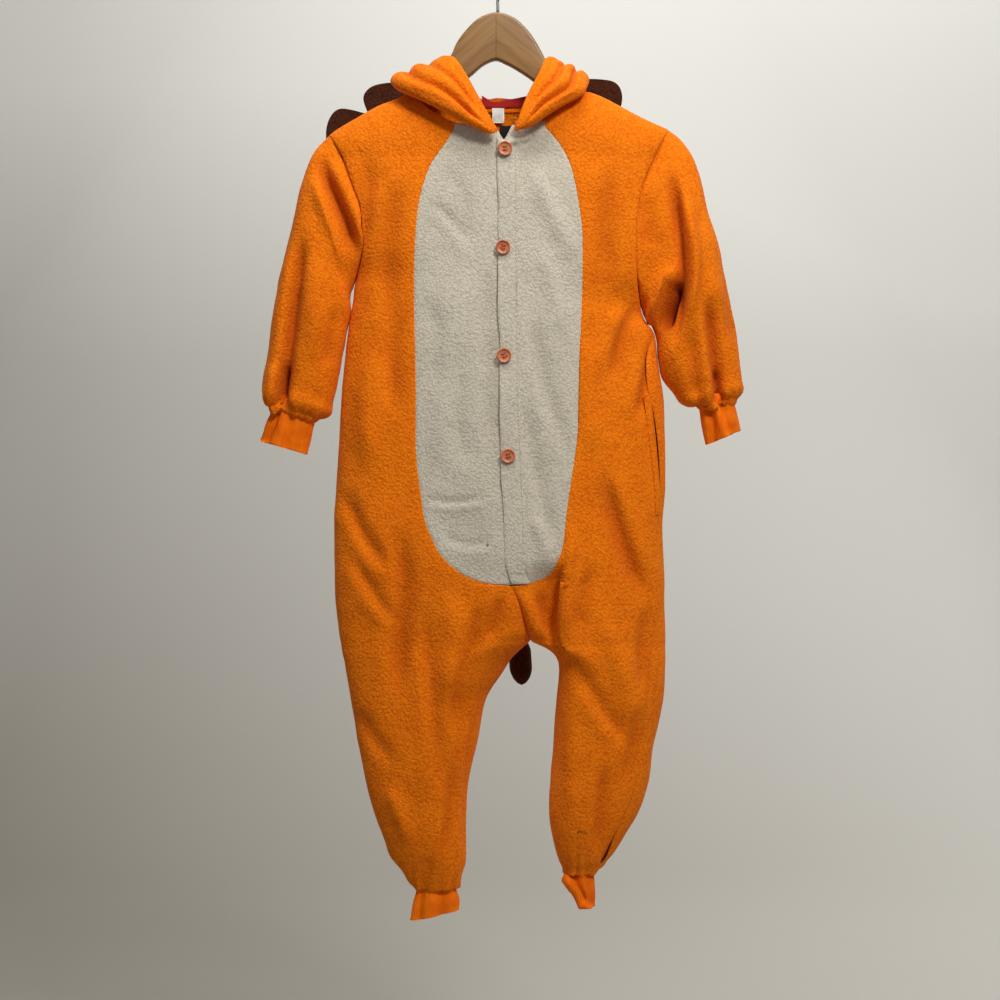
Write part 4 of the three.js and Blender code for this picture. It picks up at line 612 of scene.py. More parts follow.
# name: rows of (points, half width, depth, lip, (full at start, full at end))
FOLDS = {
    'sleeve_a': [
        ([(320, 152), (327, 176), (339, 203), (350, 232), (357, 262)], 6, 6.5, -.3, (0, 0)),
        ([(303, 228), (297, 272), (291, 316), (286, 356), (281, 398)], 6.5, 5.5, .35, (0, 1)),
        ([(284, 362), (281, 384), (280, 402)], 4.5, 5, .4, (0, 1)),
        ([(312, 172), (322, 205), (333, 240), (341, 275)], 6, -3.5, 0, (0, 0)),
        ([(288, 205), (280, 255), (275, 305)], 7, 2.2, 0, (0, 0)),
        ([(316, 250), (313, 310), (309, 360)], 12, -2.2, 0, (0, 0)),
        ([(336, 300), (331, 335), (324, 372)], 8, 2.2, .3, (0, 0)),
    ],
    'sleeve_b': [
        ([(668, 165), (675, 190), (680, 222), (684, 252), (685, 285), (679, 322), (670, 352)], 5.5, 6.5, -.4, (0, 0)),
        ([(684, 282), (674, 292), (667, 308), (661, 334)], 6.5, 17, .25, (0, 0)),
        ([(651, 322), (655, 297), (663, 279), (678, 272), (685, 278)], 4.5, -4.5, 0, (0, 0)),
        ([(686, 200), (691, 240), (693, 285), (687, 322)], 6, -3.6, 0, (0, 0)),
        ([(706, 292), (711, 330), (715, 364), (717, 398)], 6.5, 5, .4, (0, 1)),
        ([(716, 368), (718, 386), (718, 400)], 4, 3.5, .4, (0, 1)),
        ([(724, 250), (731, 300), (735, 350)], 7, 2.2, 0, (0, 0)),
        ([(700, 215), (708, 265), (716, 320)], 10, -2.6, 0, (0, 0)),
        ([(690, 330), (692, 362), (696, 392)], 7, 1.8, .3, (0, 1)),
        ([(646, 190), (648, 225), (654, 255)], 8, 1.8, 0, (0, 0)),
    ],
    'front_a': [
        ([(372, 150), (366, 200), (364, 262)], 9, 2.0, 0, (0, 0)),
        ([(396, 175), (388, 240), (392, 335)], 11, 2.0, .2, (0, 0)),
        ([(400, 300), (392, 360), (397, 430)], 9, 1.8, .3, (0, 0)),
        ([(372, 330), (367, 400), (371, 480)], 11, -2.4, 0, (0, 0)),
        ([(398, 520), (404, 593), (398, 650), (399, 712)], 10, 2.8, .3, (0, 0)),
        ([(455, 590), (452, 640), (447, 705)], 12, -3.0, 0, (0, 0)),
        ([(340, 487), (360, 530), (392, 578)], 8, 1.9, .4, (0, 0)),
        ([(352, 556), (372, 592), (398, 628)], 7, 1.5, .4, (0, 0)),
        ([(353, 705), (372, 737), (398, 768)], 8, 1.4, .3, (0, 0)),
        ([(480, 598), (470, 640), (458, 690), (452, 740)], 7, 2.4, .35, (0, 0)),
        ([(500, 592), (494, 618), (484, 645)], 6, 1.8, .3, (0, 0)),
        ([(425, 600), (428, 660), (436, 730), (440, 800)], 8, 1.9, .35, (0, 0)),
        ([(386, 780), (400, 815), (412, 850)], 8, -2.2, 0, (0, 0)),
        ([(452, 760), (448, 820), (440, 865)], 6, 1.6, .3, (0, 0)),
        ([(430, 856), (428, 874), (426, 890)], 4, 1.2, 0, (0, 1)),
        ([(479, 700), (467, 756), (464, 806), (463, 856)], 2.2, .8, .3, (0, 0)),
    ],
    'front_b': [
        ([(603, 468), (622, 535), (650, 608)], 8, 3.6, -.4, (0, 0)),
        ([(598, 600), (620, 665), (642, 742)], 11, -3.0, 0, (0, 0)),
        ([(567, 653), (598, 702), (636, 754)], 8, 1.9, .4, (0, 0)),
        ([(612, 160), (606, 220), (610, 300)], 10, 2.0, 0, (0, 0)),
        ([(640, 302), (622, 334), (612, 384)], 8, 2.6, .35, (0, 0)),
        ([(652, 335), (646, 380), (636, 424)], 6, 2.2, .35, (0, 0)),
        ([(592, 330), (588, 400), (594, 470)], 10, -2.0, 0, (0, 0)),
        ([(574, 520), (570, 556), (566, 600), (564, 650)], 5, -3.0, 0, (0, 0)),
        ([(575, 690), (572, 760), (570, 830)], 9, -2.4, 0, (0, 0)),
        ([(604, 760), (600, 812), (594, 858)], 7, 2.0, .35, (0, 0)),
        ([(642, 796), (628, 824), (614, 847), (605, 864)], 4, 2.4, -.4, (0, 1)),
        ([(648, 600), (642, 650), (646, 700)], 7, 2.2, .2, (0, 0)),
        ([(590, 560), (584, 595), (576, 640)], 7, 2.0, .3, (0, 0)),
        ([(640, 700), (634, 740), (624, 786)], 6, 1.8, .3, (0, 0)),
        ([(536, 590), (545, 612), (552, 640)], 6, 2.0, .3, (0, 0)),
        ([(655, 604), (652, 660), (646, 715), (641, 745), (630, 796)], 2.2, .9, .3, (0, 0)),
    ],
    'belly_under': [
        ([(470, 258), (452, 360), (430, 480)], 12, -1.6, 0, (0, 0)),
        ([(486, 262), (488, 370), (490, 482)], 8, 1.3, .3, (0, 0)),
        ([(428, 200), (452, 222), (470, 246)], 5, 1.0, .4, (0, 0)), ([(420, 500), (455, 503), (490, 497)], 3.5, .9, .5, (0, 0)),
        ([(447, 160), (462, 200), (470, 255)], 9, 1.0, 0, (0, 0)), ([(462, 330), (456, 410), (462, 470)], 8, 1.1, 0, (0, 0)),
        ([(440, 536), (470, 545), (498, 541)], 5, .8, .3, (0, 0)), ([(425, 290), (436, 330), (432, 400)], 9, 1.1, 0, (0, 0)),
    ],
    'placket_band': [
        ([(505, 144.5), (512, 141.5), (519, 140.5), (526, 139.5)], 2.2, -1.0, 0, (1, 1)), ([(507, 148), (516, 144.5), (527, 142.5)], 2.0, .9, 0, (0, 1)),
    ],
    'belly_over': [
        ([(523, 140.5), (528, 137.5), (531, 131)], 2.2, -1.2, 0, (1, 0)), ([(524, 144), (531, 140.5), (535, 132)], 2.0, .9, 0, (1, 0)),
        ([(532, 160), (548, 205), (577, 262)], 9, -1.8, 0, (0, 0)), ([(530, 300), (545, 385), (573, 470)], 8, 1.5, .3, (0, 0)),
        ([(524, 400), (538, 480), (558, 555)], 8, 1.4, .3, (0, 0)), ([(536, 232), (556, 300), (572, 352)], 8, -1.2, 0, (0, 0)),
        ([(530, 512), (542, 540), (548, 566)], 6, -1.1, 0, (0, 0)),
    ],
}
# The back, on the same grid mirrored: seen from behind, u still runs along +X.
BACK_FOLDS = {
    'back_a': [
        ([(380, 190), (366, 260), (372, 350)], 14, 3.5, .2, (0, 0)), ([(440, 240), (430, 330), (436, 430)], 15, -3.2, 0, (0, 0)),
        ([(352, 480), (386, 560), (440, 620)], 12, 4.2, .3, (0, 0)), ([(470, 470), (462, 560), (472, 640)], 13, 3.6, .2, (0, 0)),
        ([(372, 610), (384, 690), (380, 770)], 13, -3.4, 0, (0, 0)), ([(452, 660), (440, 720), (430, 800)], 12, 3.6, .3, (0, 0)),
        ([(402, 780), (412, 830), (420, 880)], 9, 3.0, .2, (0, 1)), ([(344, 420), (350, 480), (344, 540)], 10, 2.8, 0, (0, 0)),
        ([(476, 590), (470, 630), (462, 668)], 8, 3.0, .3, (0, 0)),
    ],
    'back_b': [
        ([(620, 190), (634, 260), (626, 350)], 14, 3.5, .2, (0, 0)), ([(560, 250), (570, 340), (562, 440)], 15, -3.0, 0, (0, 0)),
        ([(648, 470), (612, 548), (560, 606)], 12, 4.4, -.3, (0, 0)), ([(530, 480), (538, 560), (532, 636)], 13, 3.4, .2, (0, 0)),
        ([(622, 600), (606, 690), (612, 780)], 13, -3.4, 0, (0, 0)), ([(570, 660), (580, 730), (590, 812)], 12, 3.4, .3, (0, 0)),
        ([(606, 790), (600, 840), (590, 876)], 9, 3.0, .2, (0, 1)), ([(652, 560), (640, 620), (648, 700)], 10, 2.8, 0, (0, 0)),
    ],
    'sleeve_a': [
        ([(330, 160), (318, 220), (322, 290)], 11, 6, .3, (0, 0)), ([(290, 290), (296, 340), (290, 400)], 9, 4, .3, (0, 1)),
        ([(345, 270), (328, 310), (300, 340)], 8, 4, .3, (0, 0)), ([(312, 360), (308, 405)], 7, 3.5, 0, (0, 1)),
    ],
    'sleeve_b': [
        ([(668, 165), (684, 230), (680, 300)], 11, 6, .3, (0, 0)), ([(712, 290), (706, 340), (716, 396)], 9, 4, .3, (0, 1)),
        ([(655, 300), (680, 326), (712, 340)], 8, 4.5, .3, (0, 0)), ([(690, 352), (698, 398)], 7, 3.5, 0, (0, 1)),
    ],
}


def body_folds(name):
    f, b = FOLDS.get(name, []), BACK_FOLDS.get(name, [])
    def move(P, N, near):
        u, v = to_view(P)
        tot = np.zeros(u.shape); front = smooth(.02, .3, -N[..., 1]); rear = smooth(.02, .3, N[..., 1])
        for row in f:
            tot = tot + crease(u, v, *row) * front
        for row in b:
            tot = tot + crease(u, v, *row) * rear
        return tot
    return move


# ---------------------------------------------------------------- materials
def srgb(r, g, b):
    return tuple(((c / 255) / 12.92 if c / 255 < 0.04045 else ((c / 255 + 0.055) / 1.055) ** 2.4) for c in (r, g, b)) + (1,)


class Nodes:
    def __init__(s, name, rough=.9):
        s.m = bpy.data.materials.new(name); s.m.use_nodes = True; s.t = s.m.node_tree
        s.b = s.t.nodes['Principled BSDF']; s.b.inputs['Roughness'].default_value = rough
        s.co = s.t.nodes.new('ShaderNodeTexCoord')

    def add(s, kind, **kw):
        n = s.t.nodes.new('ShaderNode' + kind)
        for k, v in kw.items():
            if k.startswith('_'):
                setattr(n, k[1:], v)
            elif isinstance(v, bpy.types.NodeSocket):
                s.t.links.new(v, n.inputs[k])
            else:
                n.inputs[k].default_value = v
        return n

    def link(s, a, b):
        s.t.links.new(a, b)

    def tex(s, kind, scale, **kw):
        n = s.add('Tex' + kind, **kw); n.inputs['Scale'].default_value = scale
        if kind in ('Noise', 'Voronoi'):
            s.link(s.co.outputs['Object'], n.inputs['Vector'])
        return n

    def math(s, op, a, b=0.0, clamp=False):
        n = s.t.nodes.new('ShaderNodeMath'); n.operation = op; n.use_clamp = clamp
        for i, v in enumerate((a, b)):
            if isinstance(v, bpy.types.NodeSocket):
                s.link(v, n.inputs[i])
            else:
                n.inputs[i].default_value = v
        return n.outputs[0]

    def mixc(s, fac, a, b, mode='MIX'):
        n = s.t.nodes.new('ShaderNodeMix'); n.data_type = 'RGBA'; n.blend_type = mode
        for sock, v in ((n.inputs[0], fac), (n.inputs[6], a), (n.inputs[7], b)):
            if isinstance(v, bpy.types.NodeSocket):
                s.link(v, sock)
            else:
                sock.default_value = v
        return n.outputs[2]

    def ramp(s, fac, lo, hi):
        n = s.t.nodes.new('ShaderNodeMapRange'); n.inputs['From Min'].default_value = lo; n.inputs['From Max'].default_value = hi
        s.link(fac, n.inputs['Value']); return n.outputs[0]


# Colour factors for the painted shade in crease troughs: the fleece's dark colour is multiplied by these.
PAINTED_CREASE_SHADE_FACTORS = (.58, .36, .60)


def fleece(name, light, dark, curl=360, sheen=.35, depth=.0011, spots=(), mottle=.5, tint=PAINTED_CREASE_SHADE_FACTORS, fold=.85):
    """Pebbled fleece: small clumps of curl with painted shade in the gaps between them, slow random changes of tone,
    and painted shade in crease troughs and deep hollows.
    """
    M = Nodes(name, .95)
    warp = M.tex('Noise', 220, Detail=2.0)
    v = M.t.nodes.new('ShaderNodeVectorMath'); v.operation = 'MULTIPLY_ADD'
    M.link(warp.outputs['Color'], v.inputs[0]); v.inputs[1].default_value = (.0030, .0030, .0030); M.link(M.co.outputs['Object'], v.inputs[2])
    vo = M.t.nodes.new('ShaderNodeTexVoronoi'); vo.feature = 'SMOOTH_F1'; vo.inputs['Scale'].default_value = curl; vo.inputs['Smoothness'].default_value = .55; vo.inputs['Randomness'].default_value = 1
    M.link(v.outputs[0], vo.inputs['Vector'])
    fine = M.tex('Noise', curl * 2.4, Detail=3.0, Roughness=.6)
    slow = M.tex('Noise', 26, Detail=3.0)
    mid = M.tex('Noise', 90, Detail=2.0)
    # Painted shade: the gaps between curls and the low points of the fine noise, which the bump also sinks, are
    # coloured darker; the slow and mid noise add random tone.
    gap = M.ramp(vo.outputs['Distance'], .25, .75)
    shade = M.math('ADD', M.math('MULTIPLY', gap, .40), M.math('MULTIPLY', M.ramp(fine.outputs['Fac'], .62, .35), .42))
    shade = M.math('ADD', shade, M.math('MULTIPLY', M.ramp(slow.outputs['Fac'], .62, .38), .22 * mottle))
    shade = M.math('ADD', shade, M.math('MULTIPLY', M.ramp(mid.outputs['Fac'], .64, .36), .16 * mottle), True)
    col = M.mixc(shade, light, dark)
    # Painted shade: the crease depth attribute darkens the colour in crease troughs.
    att = M.add('Attribute', _attribute_name='fold')
    crease_shade_mix = M.math('MULTIPLY', M.math('POWER', att.outputs['Fac'], .8), fold, True)
    col = M.mixc(crease_shade_mix, col, tuple(c * k for c, k in zip(dark[:3], tint)) + (1,))
    # Painted shade: where the crease depth passes 1.05, in deep hollows, the colour goes to near black.
    col = M.mixc(M.math('MULTIPLY', M.math('SUBTRACT', att.outputs['Fac'], 1.05), .75, True), col, tuple(c * k for c, k in zip(dark[:3], (.16, .06, .3))) + (1,))
    for (x, y, z, r, c, k) in spots:
        d = M.t.nodes.new('ShaderNodeVectorMath'); d.operation = 'DISTANCE'; M.link(M.co.outputs['Object'], d.inputs[0]); d.inputs[1].default_value = (x, y, z)
        w = M.math('ADD', d.outputs['Value'], M.math('MULTIPLY', M.math('SUBTRACT', mid.outputs['Fac'], .5), r * 1.2))
        col = M.mixc(M.math('MULTIPLY', M.ramp(w, r, r * .35), k, True), col, c)
    M.link(col, M.b.inputs['Base Color'])
    h = M.math('SUBTRACT', M.math('MULTIPLY', fine.outputs['Fac'], .45), vo.outputs['Distance'])
    bp = M.add('Bump', Strength=.75, Distance=depth, Height=h)
    M.link(bp.outputs[0], M.b.inputs['Normal'])
    M.b.inputs['Sheen Weight'].default_value = sheen; M.b.inputs['Sheen Roughness'].default_value = .45
    M.b.inputs['Sheen Tint'].default_value = tuple(min(1, c * 1.25 + .1) for c in light[:3]) + (1,)
    M.b.inputs['Specular IOR Level'].default_value = .15
    return M.m


def knit(name, light, dark, pitch=.0021, depth=.0005, sheen=.15, spec=.3):
    """Ribbed jersey: fine wales that run along the cuff, with small stitches on them."""
    M = Nodes(name, .78)
    uv = M.add('UVMap', _uv_map='lay'); sp = M.add('SeparateXYZ', Vector=uv.outputs[0])
    wale = M.math('ABSOLUTE', M.math('SINE', M.math('MULTIPLY', sp.outputs['X'], PI / pitch)))
    st = M.math('SINE', M.math('ADD', M.math('MULTIPLY', sp.outputs['Y'], 2 * PI / (pitch * .62)), M.math('MULTIPLY', wale, 2.2)))
    h = M.math('ADD', wale, M.math('MULTIPLY', st, .18))
    n = M.tex('Noise', 70, Detail=3.0)
    # Painted shade: the valleys between wales are coloured darker; the noise adds random tone.
    sh = M.math('ADD', M.math('MULTIPLY', M.math('SUBTRACT', 1.0, wale), .5), M.math('MULTIPLY', M.ramp(n.outputs['Fac'], .62, .38), .4), True)
    M.link(M.mixc(sh, light, dark), M.b.inputs['Base Color'])
    bp = M.add('Bump', Strength=.5, Distance=depth, Height=h); M.link(bp.outputs[0], M.b.inputs['Normal'])
    M.b.inputs['Sheen Weight'].default_value = sheen; M.b.inputs['Specular IOR Level'].default_value = spec
    return M.m


def ribbon(name, light, dark):
    M = Nodes(name, .7)
    M.b.inputs['Specular IOR Level'].default_value = .15
    uv = M.add('UVMap', _uv_map='lay'); sp = M.add('SeparateXYZ', Vector=uv.outputs[0])
    w = M.math('MULTIPLY', M.math('SINE', M.math('MULTIPLY', sp.outputs['X'], 2 * PI / .0006)), M.math('SINE', M.math('MULTIPLY', sp.outputs['Y'], 2 * PI / .0006)))
    n = M.tex('Noise', 160, Detail=2.0)
    M.link(M.mixc(M.ramp(n.outputs['Fac'], .35, .65), light, dark), M.b.inputs['Base Color'])
    bp = M.add('Bump', Strength=.25, Distance=.0002, Height=w); M.link(bp.outputs[0], M.b.inputs['Normal'])
    return M.m


def plastic(name, light, dark):
    M = Nodes(name, .32)
    n = M.tex('Noise', 90, Detail=3.0); f = M.tex('Noise', 700, Detail=2.0)
    M.link(M.mixc(M.ramp(n.outputs['Fac'], .35, .65), light, dark), M.b.inputs['Base Color'])
    M.link(M.math('ADD', .28, M.math('MULTIPLY', f.outputs['Fac'], .18)), M.b.inputs['Roughness'])
    bp = M.add('Bump', Strength=.12, Distance=.0002, Height=f.outputs['Fac']); M.link(bp.outputs[0], M.b.inputs['Normal'])
    M.b.inputs['Coat Weight'].default_value = .06
    return M.m


def thread(name, c, d):
    M = Nodes(name, .8)
    n = M.tex('Noise', 1500, Detail=2.0)
    M.link(M.mixc(M.ramp(n.outputs['Fac'], .35, .65), c, d), M.b.inputs['Base Color'])
    bp = M.add('Bump', Strength=.5, Distance=.0002, Height=n.outputs['Fac']); M.link(bp.outputs[0], M.b.inputs['Normal'])
    return M.m


def wood(name):
    """Two halves joined at the middle: the grain falls to both sides, and is long and fine."""
    M = Nodes(name, .42)
    sp = M.add('SeparateXYZ', Vector=M.co.outputs['Object'])
    ax = M.math('ABSOLUTE', M.math('SUBTRACT', sp.outputs['X'], -.001))
    along = M.math('SUBTRACT', M.math('MULTIPLY', ax, .78), M.math('MULTIPLY', sp.outputs['Z'], .62))
    acr = M.math('ADD', M.math('MULTIPLY', ax, .62), M.math('MULTIPLY', sp.outputs['Z'], .78))
    side = M.math('MULTIPLY', M.math('GREATER_THAN', sp.outputs['X'], -.001), .37)
    vec = M.add('CombineXYZ', X=M.math('ADD', M.math('MULTIPLY', along, 9.0), side), Y=M.math('MULTIPLY', acr, 110.0), Z=M.math('MULTIPLY', sp.outputs['Y'], 60.0))
    n = M.add('TexNoise', Scale=1.0, Detail=5.0, Roughness=.6, Distortion=.6, Vector=vec.outputs[0])
    vec2 = M.add('CombineXYZ', X=M.math('MULTIPLY', along, 30.0), Y=M.math('MULTIPLY', acr, 420.0), Z=M.math('MULTIPLY', sp.outputs['Y'], 300.0))
    p = M.add('TexNoise', Scale=1.0, Detail=2.0, Vector=vec2.outputs[0])
    c = M.mixc(M.ramp(n.outputs['Fac'], .34, .66), srgb(150, 110, 58), srgb(122, 84, 40))
    c = M.mixc(M.ramp(p.outputs['Fac'], .60, .74), c, srgb(98, 64, 30))
    seam = M.math('LESS_THAN', ax, .00035)
    c = M.mixc(M.math('MULTIPLY', seam, .75), c, srgb(66, 42, 22))
    M.link(c, M.b.inputs['Base Color'])
    bp = M.add('Bump', Strength=.15, Distance=.0003, Height=p.outputs['Fac']); M.link(bp.outputs[0], M.b.inputs['Normal'])
    M.b.inputs['Coat Weight'].default_value = .25; M.b.inputs['Coat Roughness'].default_value = .35
    return M.m


def steel(name):
    M = Nodes(name, .25)
    M.b.inputs['Metallic'].default_value = 1.0
    n = M.tex('Noise', 300, Detail=3.0)
    M.link(M.mixc(n.outputs['Fac'], srgb(205, 206, 208), srgb(150, 152, 156)), M.b.inputs['Base Color'])
    M.link(M.math('ADD', .18, M.math('MULTIPLY', n.outputs['Fac'], .2)), M.b.inputs['Roughness'])
    return M.m


def matte(name, c, d, scale=.8):
    M = Nodes(name, .95)
    n = M.tex('Noise', scale, Detail=2.0)
    M.link(M.mixc(M.ramp(n.outputs['Fac'], .3, .7), c, d), M.b.inputs['Base Color'])
    M.b.inputs['Specular IOR Level'].default_value = .1
    return M.m


ORANGE_SPOTS = [(.0868, -.0326, -.9512, .0030, srgb(84, 56, 20), .85), (.0893, -.0326, -.9500, .0032, srgb(84, 56, 20), .85), (.0925, -.0326, -.9503, .0020, srgb(104, 72, 28), .7), (.0955, -.0325, -.9510, .0018, srgb(110, 78, 30), .7)]
def backdrop(name):
    """Plain board, with painted light and shade: a little lighter toward the top right, darker toward the floor."""
    M = Nodes(name, .95)
    sp = M.add('SeparateXYZ', Vector=M.co.outputs['Object']); n = M.tex('Noise', .8, Detail=2.0)
    # Painted light and shade: the colour grows lighter with height and toward +X.
    up = M.math('ADD', M.ramp(sp.outputs['Z'], -1.45, .55), M.math('MULTIPLY', M.ramp(sp.outputs['X'], -1.2, 1.2), .55))
    up = M.math('MULTIPLY', M.math('ADD', up, M.math('MULTIPLY', n.outputs['Fac'], .06)), .78, True)
    M.link(M.mixc(up, srgb(130, 124, 112), srgb(250, 248, 241)), M.b.inputs['Base Color'])
    M.b.inputs['Specular IOR Level'].default_value = .1
    return M.m


MAT = {
    'orange': fleece('orange_fleece', srgb(250, 135, 10), srgb(206, 85, 0), spots=ORANGE_SPOTS, sheen=.16),
    'cream': fleece('cream_fleece', srgb(211, 202, 184), srgb(166, 157, 140), depth=.0009, sheen=.16, spots=[(-.0101, -.0505, -.6390, .0018, srgb(66, 56, 46), .85)], mottle=.35, tint=(.72, .69, .64), fold=.6),
    'brown': fleece('brown_fleece', srgb(78, 38, 18), srgb(36, 15, 7), sheen=.10),
    'cuff': knit('cuff_jersey', srgb(255, 127, 6), srgb(226, 86, 0), sheen=.0, spec=.12),
    'bag': knit('bag_jersey', srgb(236, 120, 30), srgb(200, 84, 12)),
    'red': knit('red_jersey', srgb(206, 40, 36), srgb(150, 18, 18), pitch=.0016),
    'white': ribbon('blank_ribbon', srgb(236, 234, 226), srgb(214, 212, 204)),
    'dark': ribbon('dark_ribbon', srgb(20, 17, 16), srgb(12, 10, 10)),
    'button': plastic('salmon_plastic', srgb(203, 122, 82), srgb(176, 97, 60)),
    # A darker copy of the button plastic, meant as painted shade in the button holes; no piece uses it.
    'hole': plastic('button_hole', srgb(96, 52, 38), srgb(70, 36, 26)),
    'thread_orange': thread('orange_thread', srgb(226, 116, 26), srgb(190, 86, 14)),
    'thread_cream': thread('cream_thread', srgb(214, 212, 200), srgb(176, 174, 162)),
    'thread_salmon': thread('salmon_thread', srgb(196, 104, 74), srgb(150, 70, 46)),
    'wood': wood('ochre_wood'),
    'steel': steel('hook_metal'),
}


MADE = {}


def done(ob, node, slot, mat, nodes=None):
    MADE[node] = ob
    ob.data.materials.clear(); ob.data.materials.append(MAT[mat])
    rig.ride(ob, "root")
    if node:
        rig.replaces(ob, *(nodes or [node]))
    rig.slot(ob, slot)
    return ob


# ---------------------------------------------------------------- fronts and backs
BELLY_B = table('z x', [r for r in zip(BELLY_B['z'], BELLY_B['x']) if r[0] > -640] + [[-648, 69.4], [-658.9, 64.6], [-665.5, 61.6], [-671, 57.8], [-674, 54.8], [-675.7, 52.4], [-682.2, 41]])
B.belly = BELLY_B
XA = lambda z, t: np.where(z > -678.9, at(BELLY_A, 'z', 'x', z), np.interp(z, [-682.9, -682.4, -681, -679], [15.5, 4, -8, -18.2]))
XB = lambda z, t: np.where(z > -675.7, at(BELLY_B, 'z', 'x', z), np.interp(z, [-682.9, -682.3, -681.0, -679.2, -675.7], [15.5, 22, 33, 42, 52.4]))
T_BELLY = 13.16


def belly_w(S, t):
    w = w_at_x(S, t, XA if S is A else XB)
    return np.where(t > T_BELLY, 0, w)


def leg_end(P, S, rows=5):
    """The leg's last edge turns in to meet its cuff."""
    r = S.rows; c = np.array([(r['ix'][-1] + r['sx'][-1]) / 2, 0, 0])
    out = [P]
    for k in range(1, rows + 1):
        q = P[-1].copy(); s = 1 - .30 * (k / rows) ** 1.1
        q[:, :2] = c[:2] + (q[:, :2] - c[:2]) * s; q[:, 2] -= 2.2 * math.sin(k / rows * 2.2)
        out.append(q[None])
    return np.concatenate(out)


def front(S):
    t = rows_along(S, 0, 28, .55, extra=[(12.55, 13.3, .035)])
    r = S.rows
    w1 = at(r, 't', 'seamOut', np.maximum(t, 1)) - SEAM / 180
    w0 = np.where(t <= T_BELLY, belly_w(S, t) + SEAM / 160, at(r, 't', 'seamIn', np.maximum(t, 1)) + SEAM / 420)
    if S is B:
        w0 = np.where(t <= T_BELLY, np.maximum(w0, w_at_x(S, t, lambda z, tt: np.where(tt < 12.75, centre(tt) + PLACKET_W, -1e3))), w0)
    f = lambda W: body(S, np.broadcast_to(t[:, None], W.shape), W)
    P, W = across(f, w0, w1)
    P[0, :, 1] = np.minimum(P[0, :, 1], -.15)
    P = leg_end(P, S)
    g = lambda: None
    mv = body_folds('front_' + S.key)
    def move(P_, N, near):
        v = to_view(P_)[1]
        end = np.clip((P_[..., 2] + 1016) / 26 if S is A else (P_[..., 2] + 1000) / 26, 0, 4)
        gather = .9 * np.exp(-end ** 2) * np.sin(P_[..., 0] / 2.4 + 1.7 * np.sin(P_[..., 0] / 7.0)) * smooth(0, 3, near)
        return mv(P_, N, near) + gather
    ob = cloth('front_' + S.key, P, FLEECE, FRONT, seams='u0 u1 v0', move=move, seed=11 + (S is B), dip={'u0': .12, 'v0': .5, 'u1': .6})
    return done(ob, 'front_' + S.key, 'fleece_orange', 'orange')


def back(S):
    t = rows_along(S, 0, 28, 1.45)
    r = S.rows
    so = at(r, 't', 'seamOut', np.maximum(t, 1))
    mouth = np.maximum(0, np.sin(PI * np.clip((t - 7.9) / 2.8, 0, 1))) ** .6 * .055 if S is B else 0
    w0 = np.where(t < 5, 1.0001, so + SEAM / 180 + mouth)
    w1 = 2 + at(r, 't', 'seamIn', np.maximum(t, 1)) - SEAM / 140
    f = lambda W: body(S, np.broadcast_to(t[:, None], W.shape), W)
    P, W = across(f, w0, w1, step=3.8)
    P[0, :, 1] = np.maximum(P[0, :, 1], .15)
    P = leg_end(P, S)
    mv = body_folds('back_' + S.key)
    def move(P_, N, near):
        end = np.clip((P_[..., 2] + 1016) / 26 if S is A else (P_[..., 2] + 1000) / 26, 0, 4)
        gather = .9 * np.exp(-end ** 2) * np.sin(P_[..., 0] / 2.6 + 1.5 * np.sin(P_[..., 0] / 6.0)) * smooth(0, 3, near)
        return mv(P_, N, near) + gather
    ob = cloth('back_' + S.key, P, FLEECE, BACK, seams='u0 u1 v0', move=move, seed=21 + (S is B))
    return done(ob, 'back_' + S.key, 'fleece_orange', 'orange')


FRONT, BACK = (0, -1, 0), (0, 1, 0)
fronts = {s.key: front(s) for s in (A, B)}
backs = {s.key: back(s) for s in (A, B)}


# ---------------------------------------------------------------- belly halves and the button band
def across_x(t, x):
    """Points of the front at row t and place x, on either side of the middle."""
    c = centre(t); t, x, c = np.broadcast_arrays(t, x, c)
    left = x < c
    wa = w_at_x(A, t, lambda z, tt: np.where(left, x, c)); wb = w_at_x(B, t, lambda z, tt: np.where(left, c, x))
    return np.where(left[..., None], body(A, t, wa), body(B, t, wb))


def panel(name, t, x0, x1, step=CELL, **kw):
    m = int(round(np.percentile(x1 - x0, 92) / step)); rows = []
    for i in range(len(t)):
        l = max(x1[i] - x0[i], .5); e = EDGE * min(1, l / 14)
        rows.append(x0[i] + np.concatenate([e[:-1], np.linspace(e[-1], l - e[-1], m), l - e[:-1][::-1]]))
    X = np.array(rows)
    return across_x(np.broadcast_to(t[:, None], X.shape), X)


def wob(z, seed, size=1.0):
    p = np.stack([z * 0, z * 0, z], -1)
    return size * (noise(p, 55, seed) + .5 * noise(p, 21, seed + 3))


t_under = rows_along(A, 0, 13.15, .5, extra=[(12.55, 13.14, .035)])
xa = body(A, t_under, belly_w(A, t_under))[:, 0] + SEAM / 2
zc = body(A, t_under, np.full_like(t_under, .02))[:, 2]
x_under = np.maximum(centre(t_under) + PLACKET_W - 3 - 16 * smooth(12.7, 13.15, t_under), xa + 1.2)
PU = panel('belly_under', t_under, xa, x_under)
def notch(P):
    """The neck opening falls to a point above the first button."""
    k = np.clip(1 - np.abs(P[..., 0] - 7.6) / 8.5, 0, 1) * smooth(-206, -188, P[..., 2])
    P[..., 2] -= 14.5 * k
    P[..., 1] += 2.0 * k
    return P


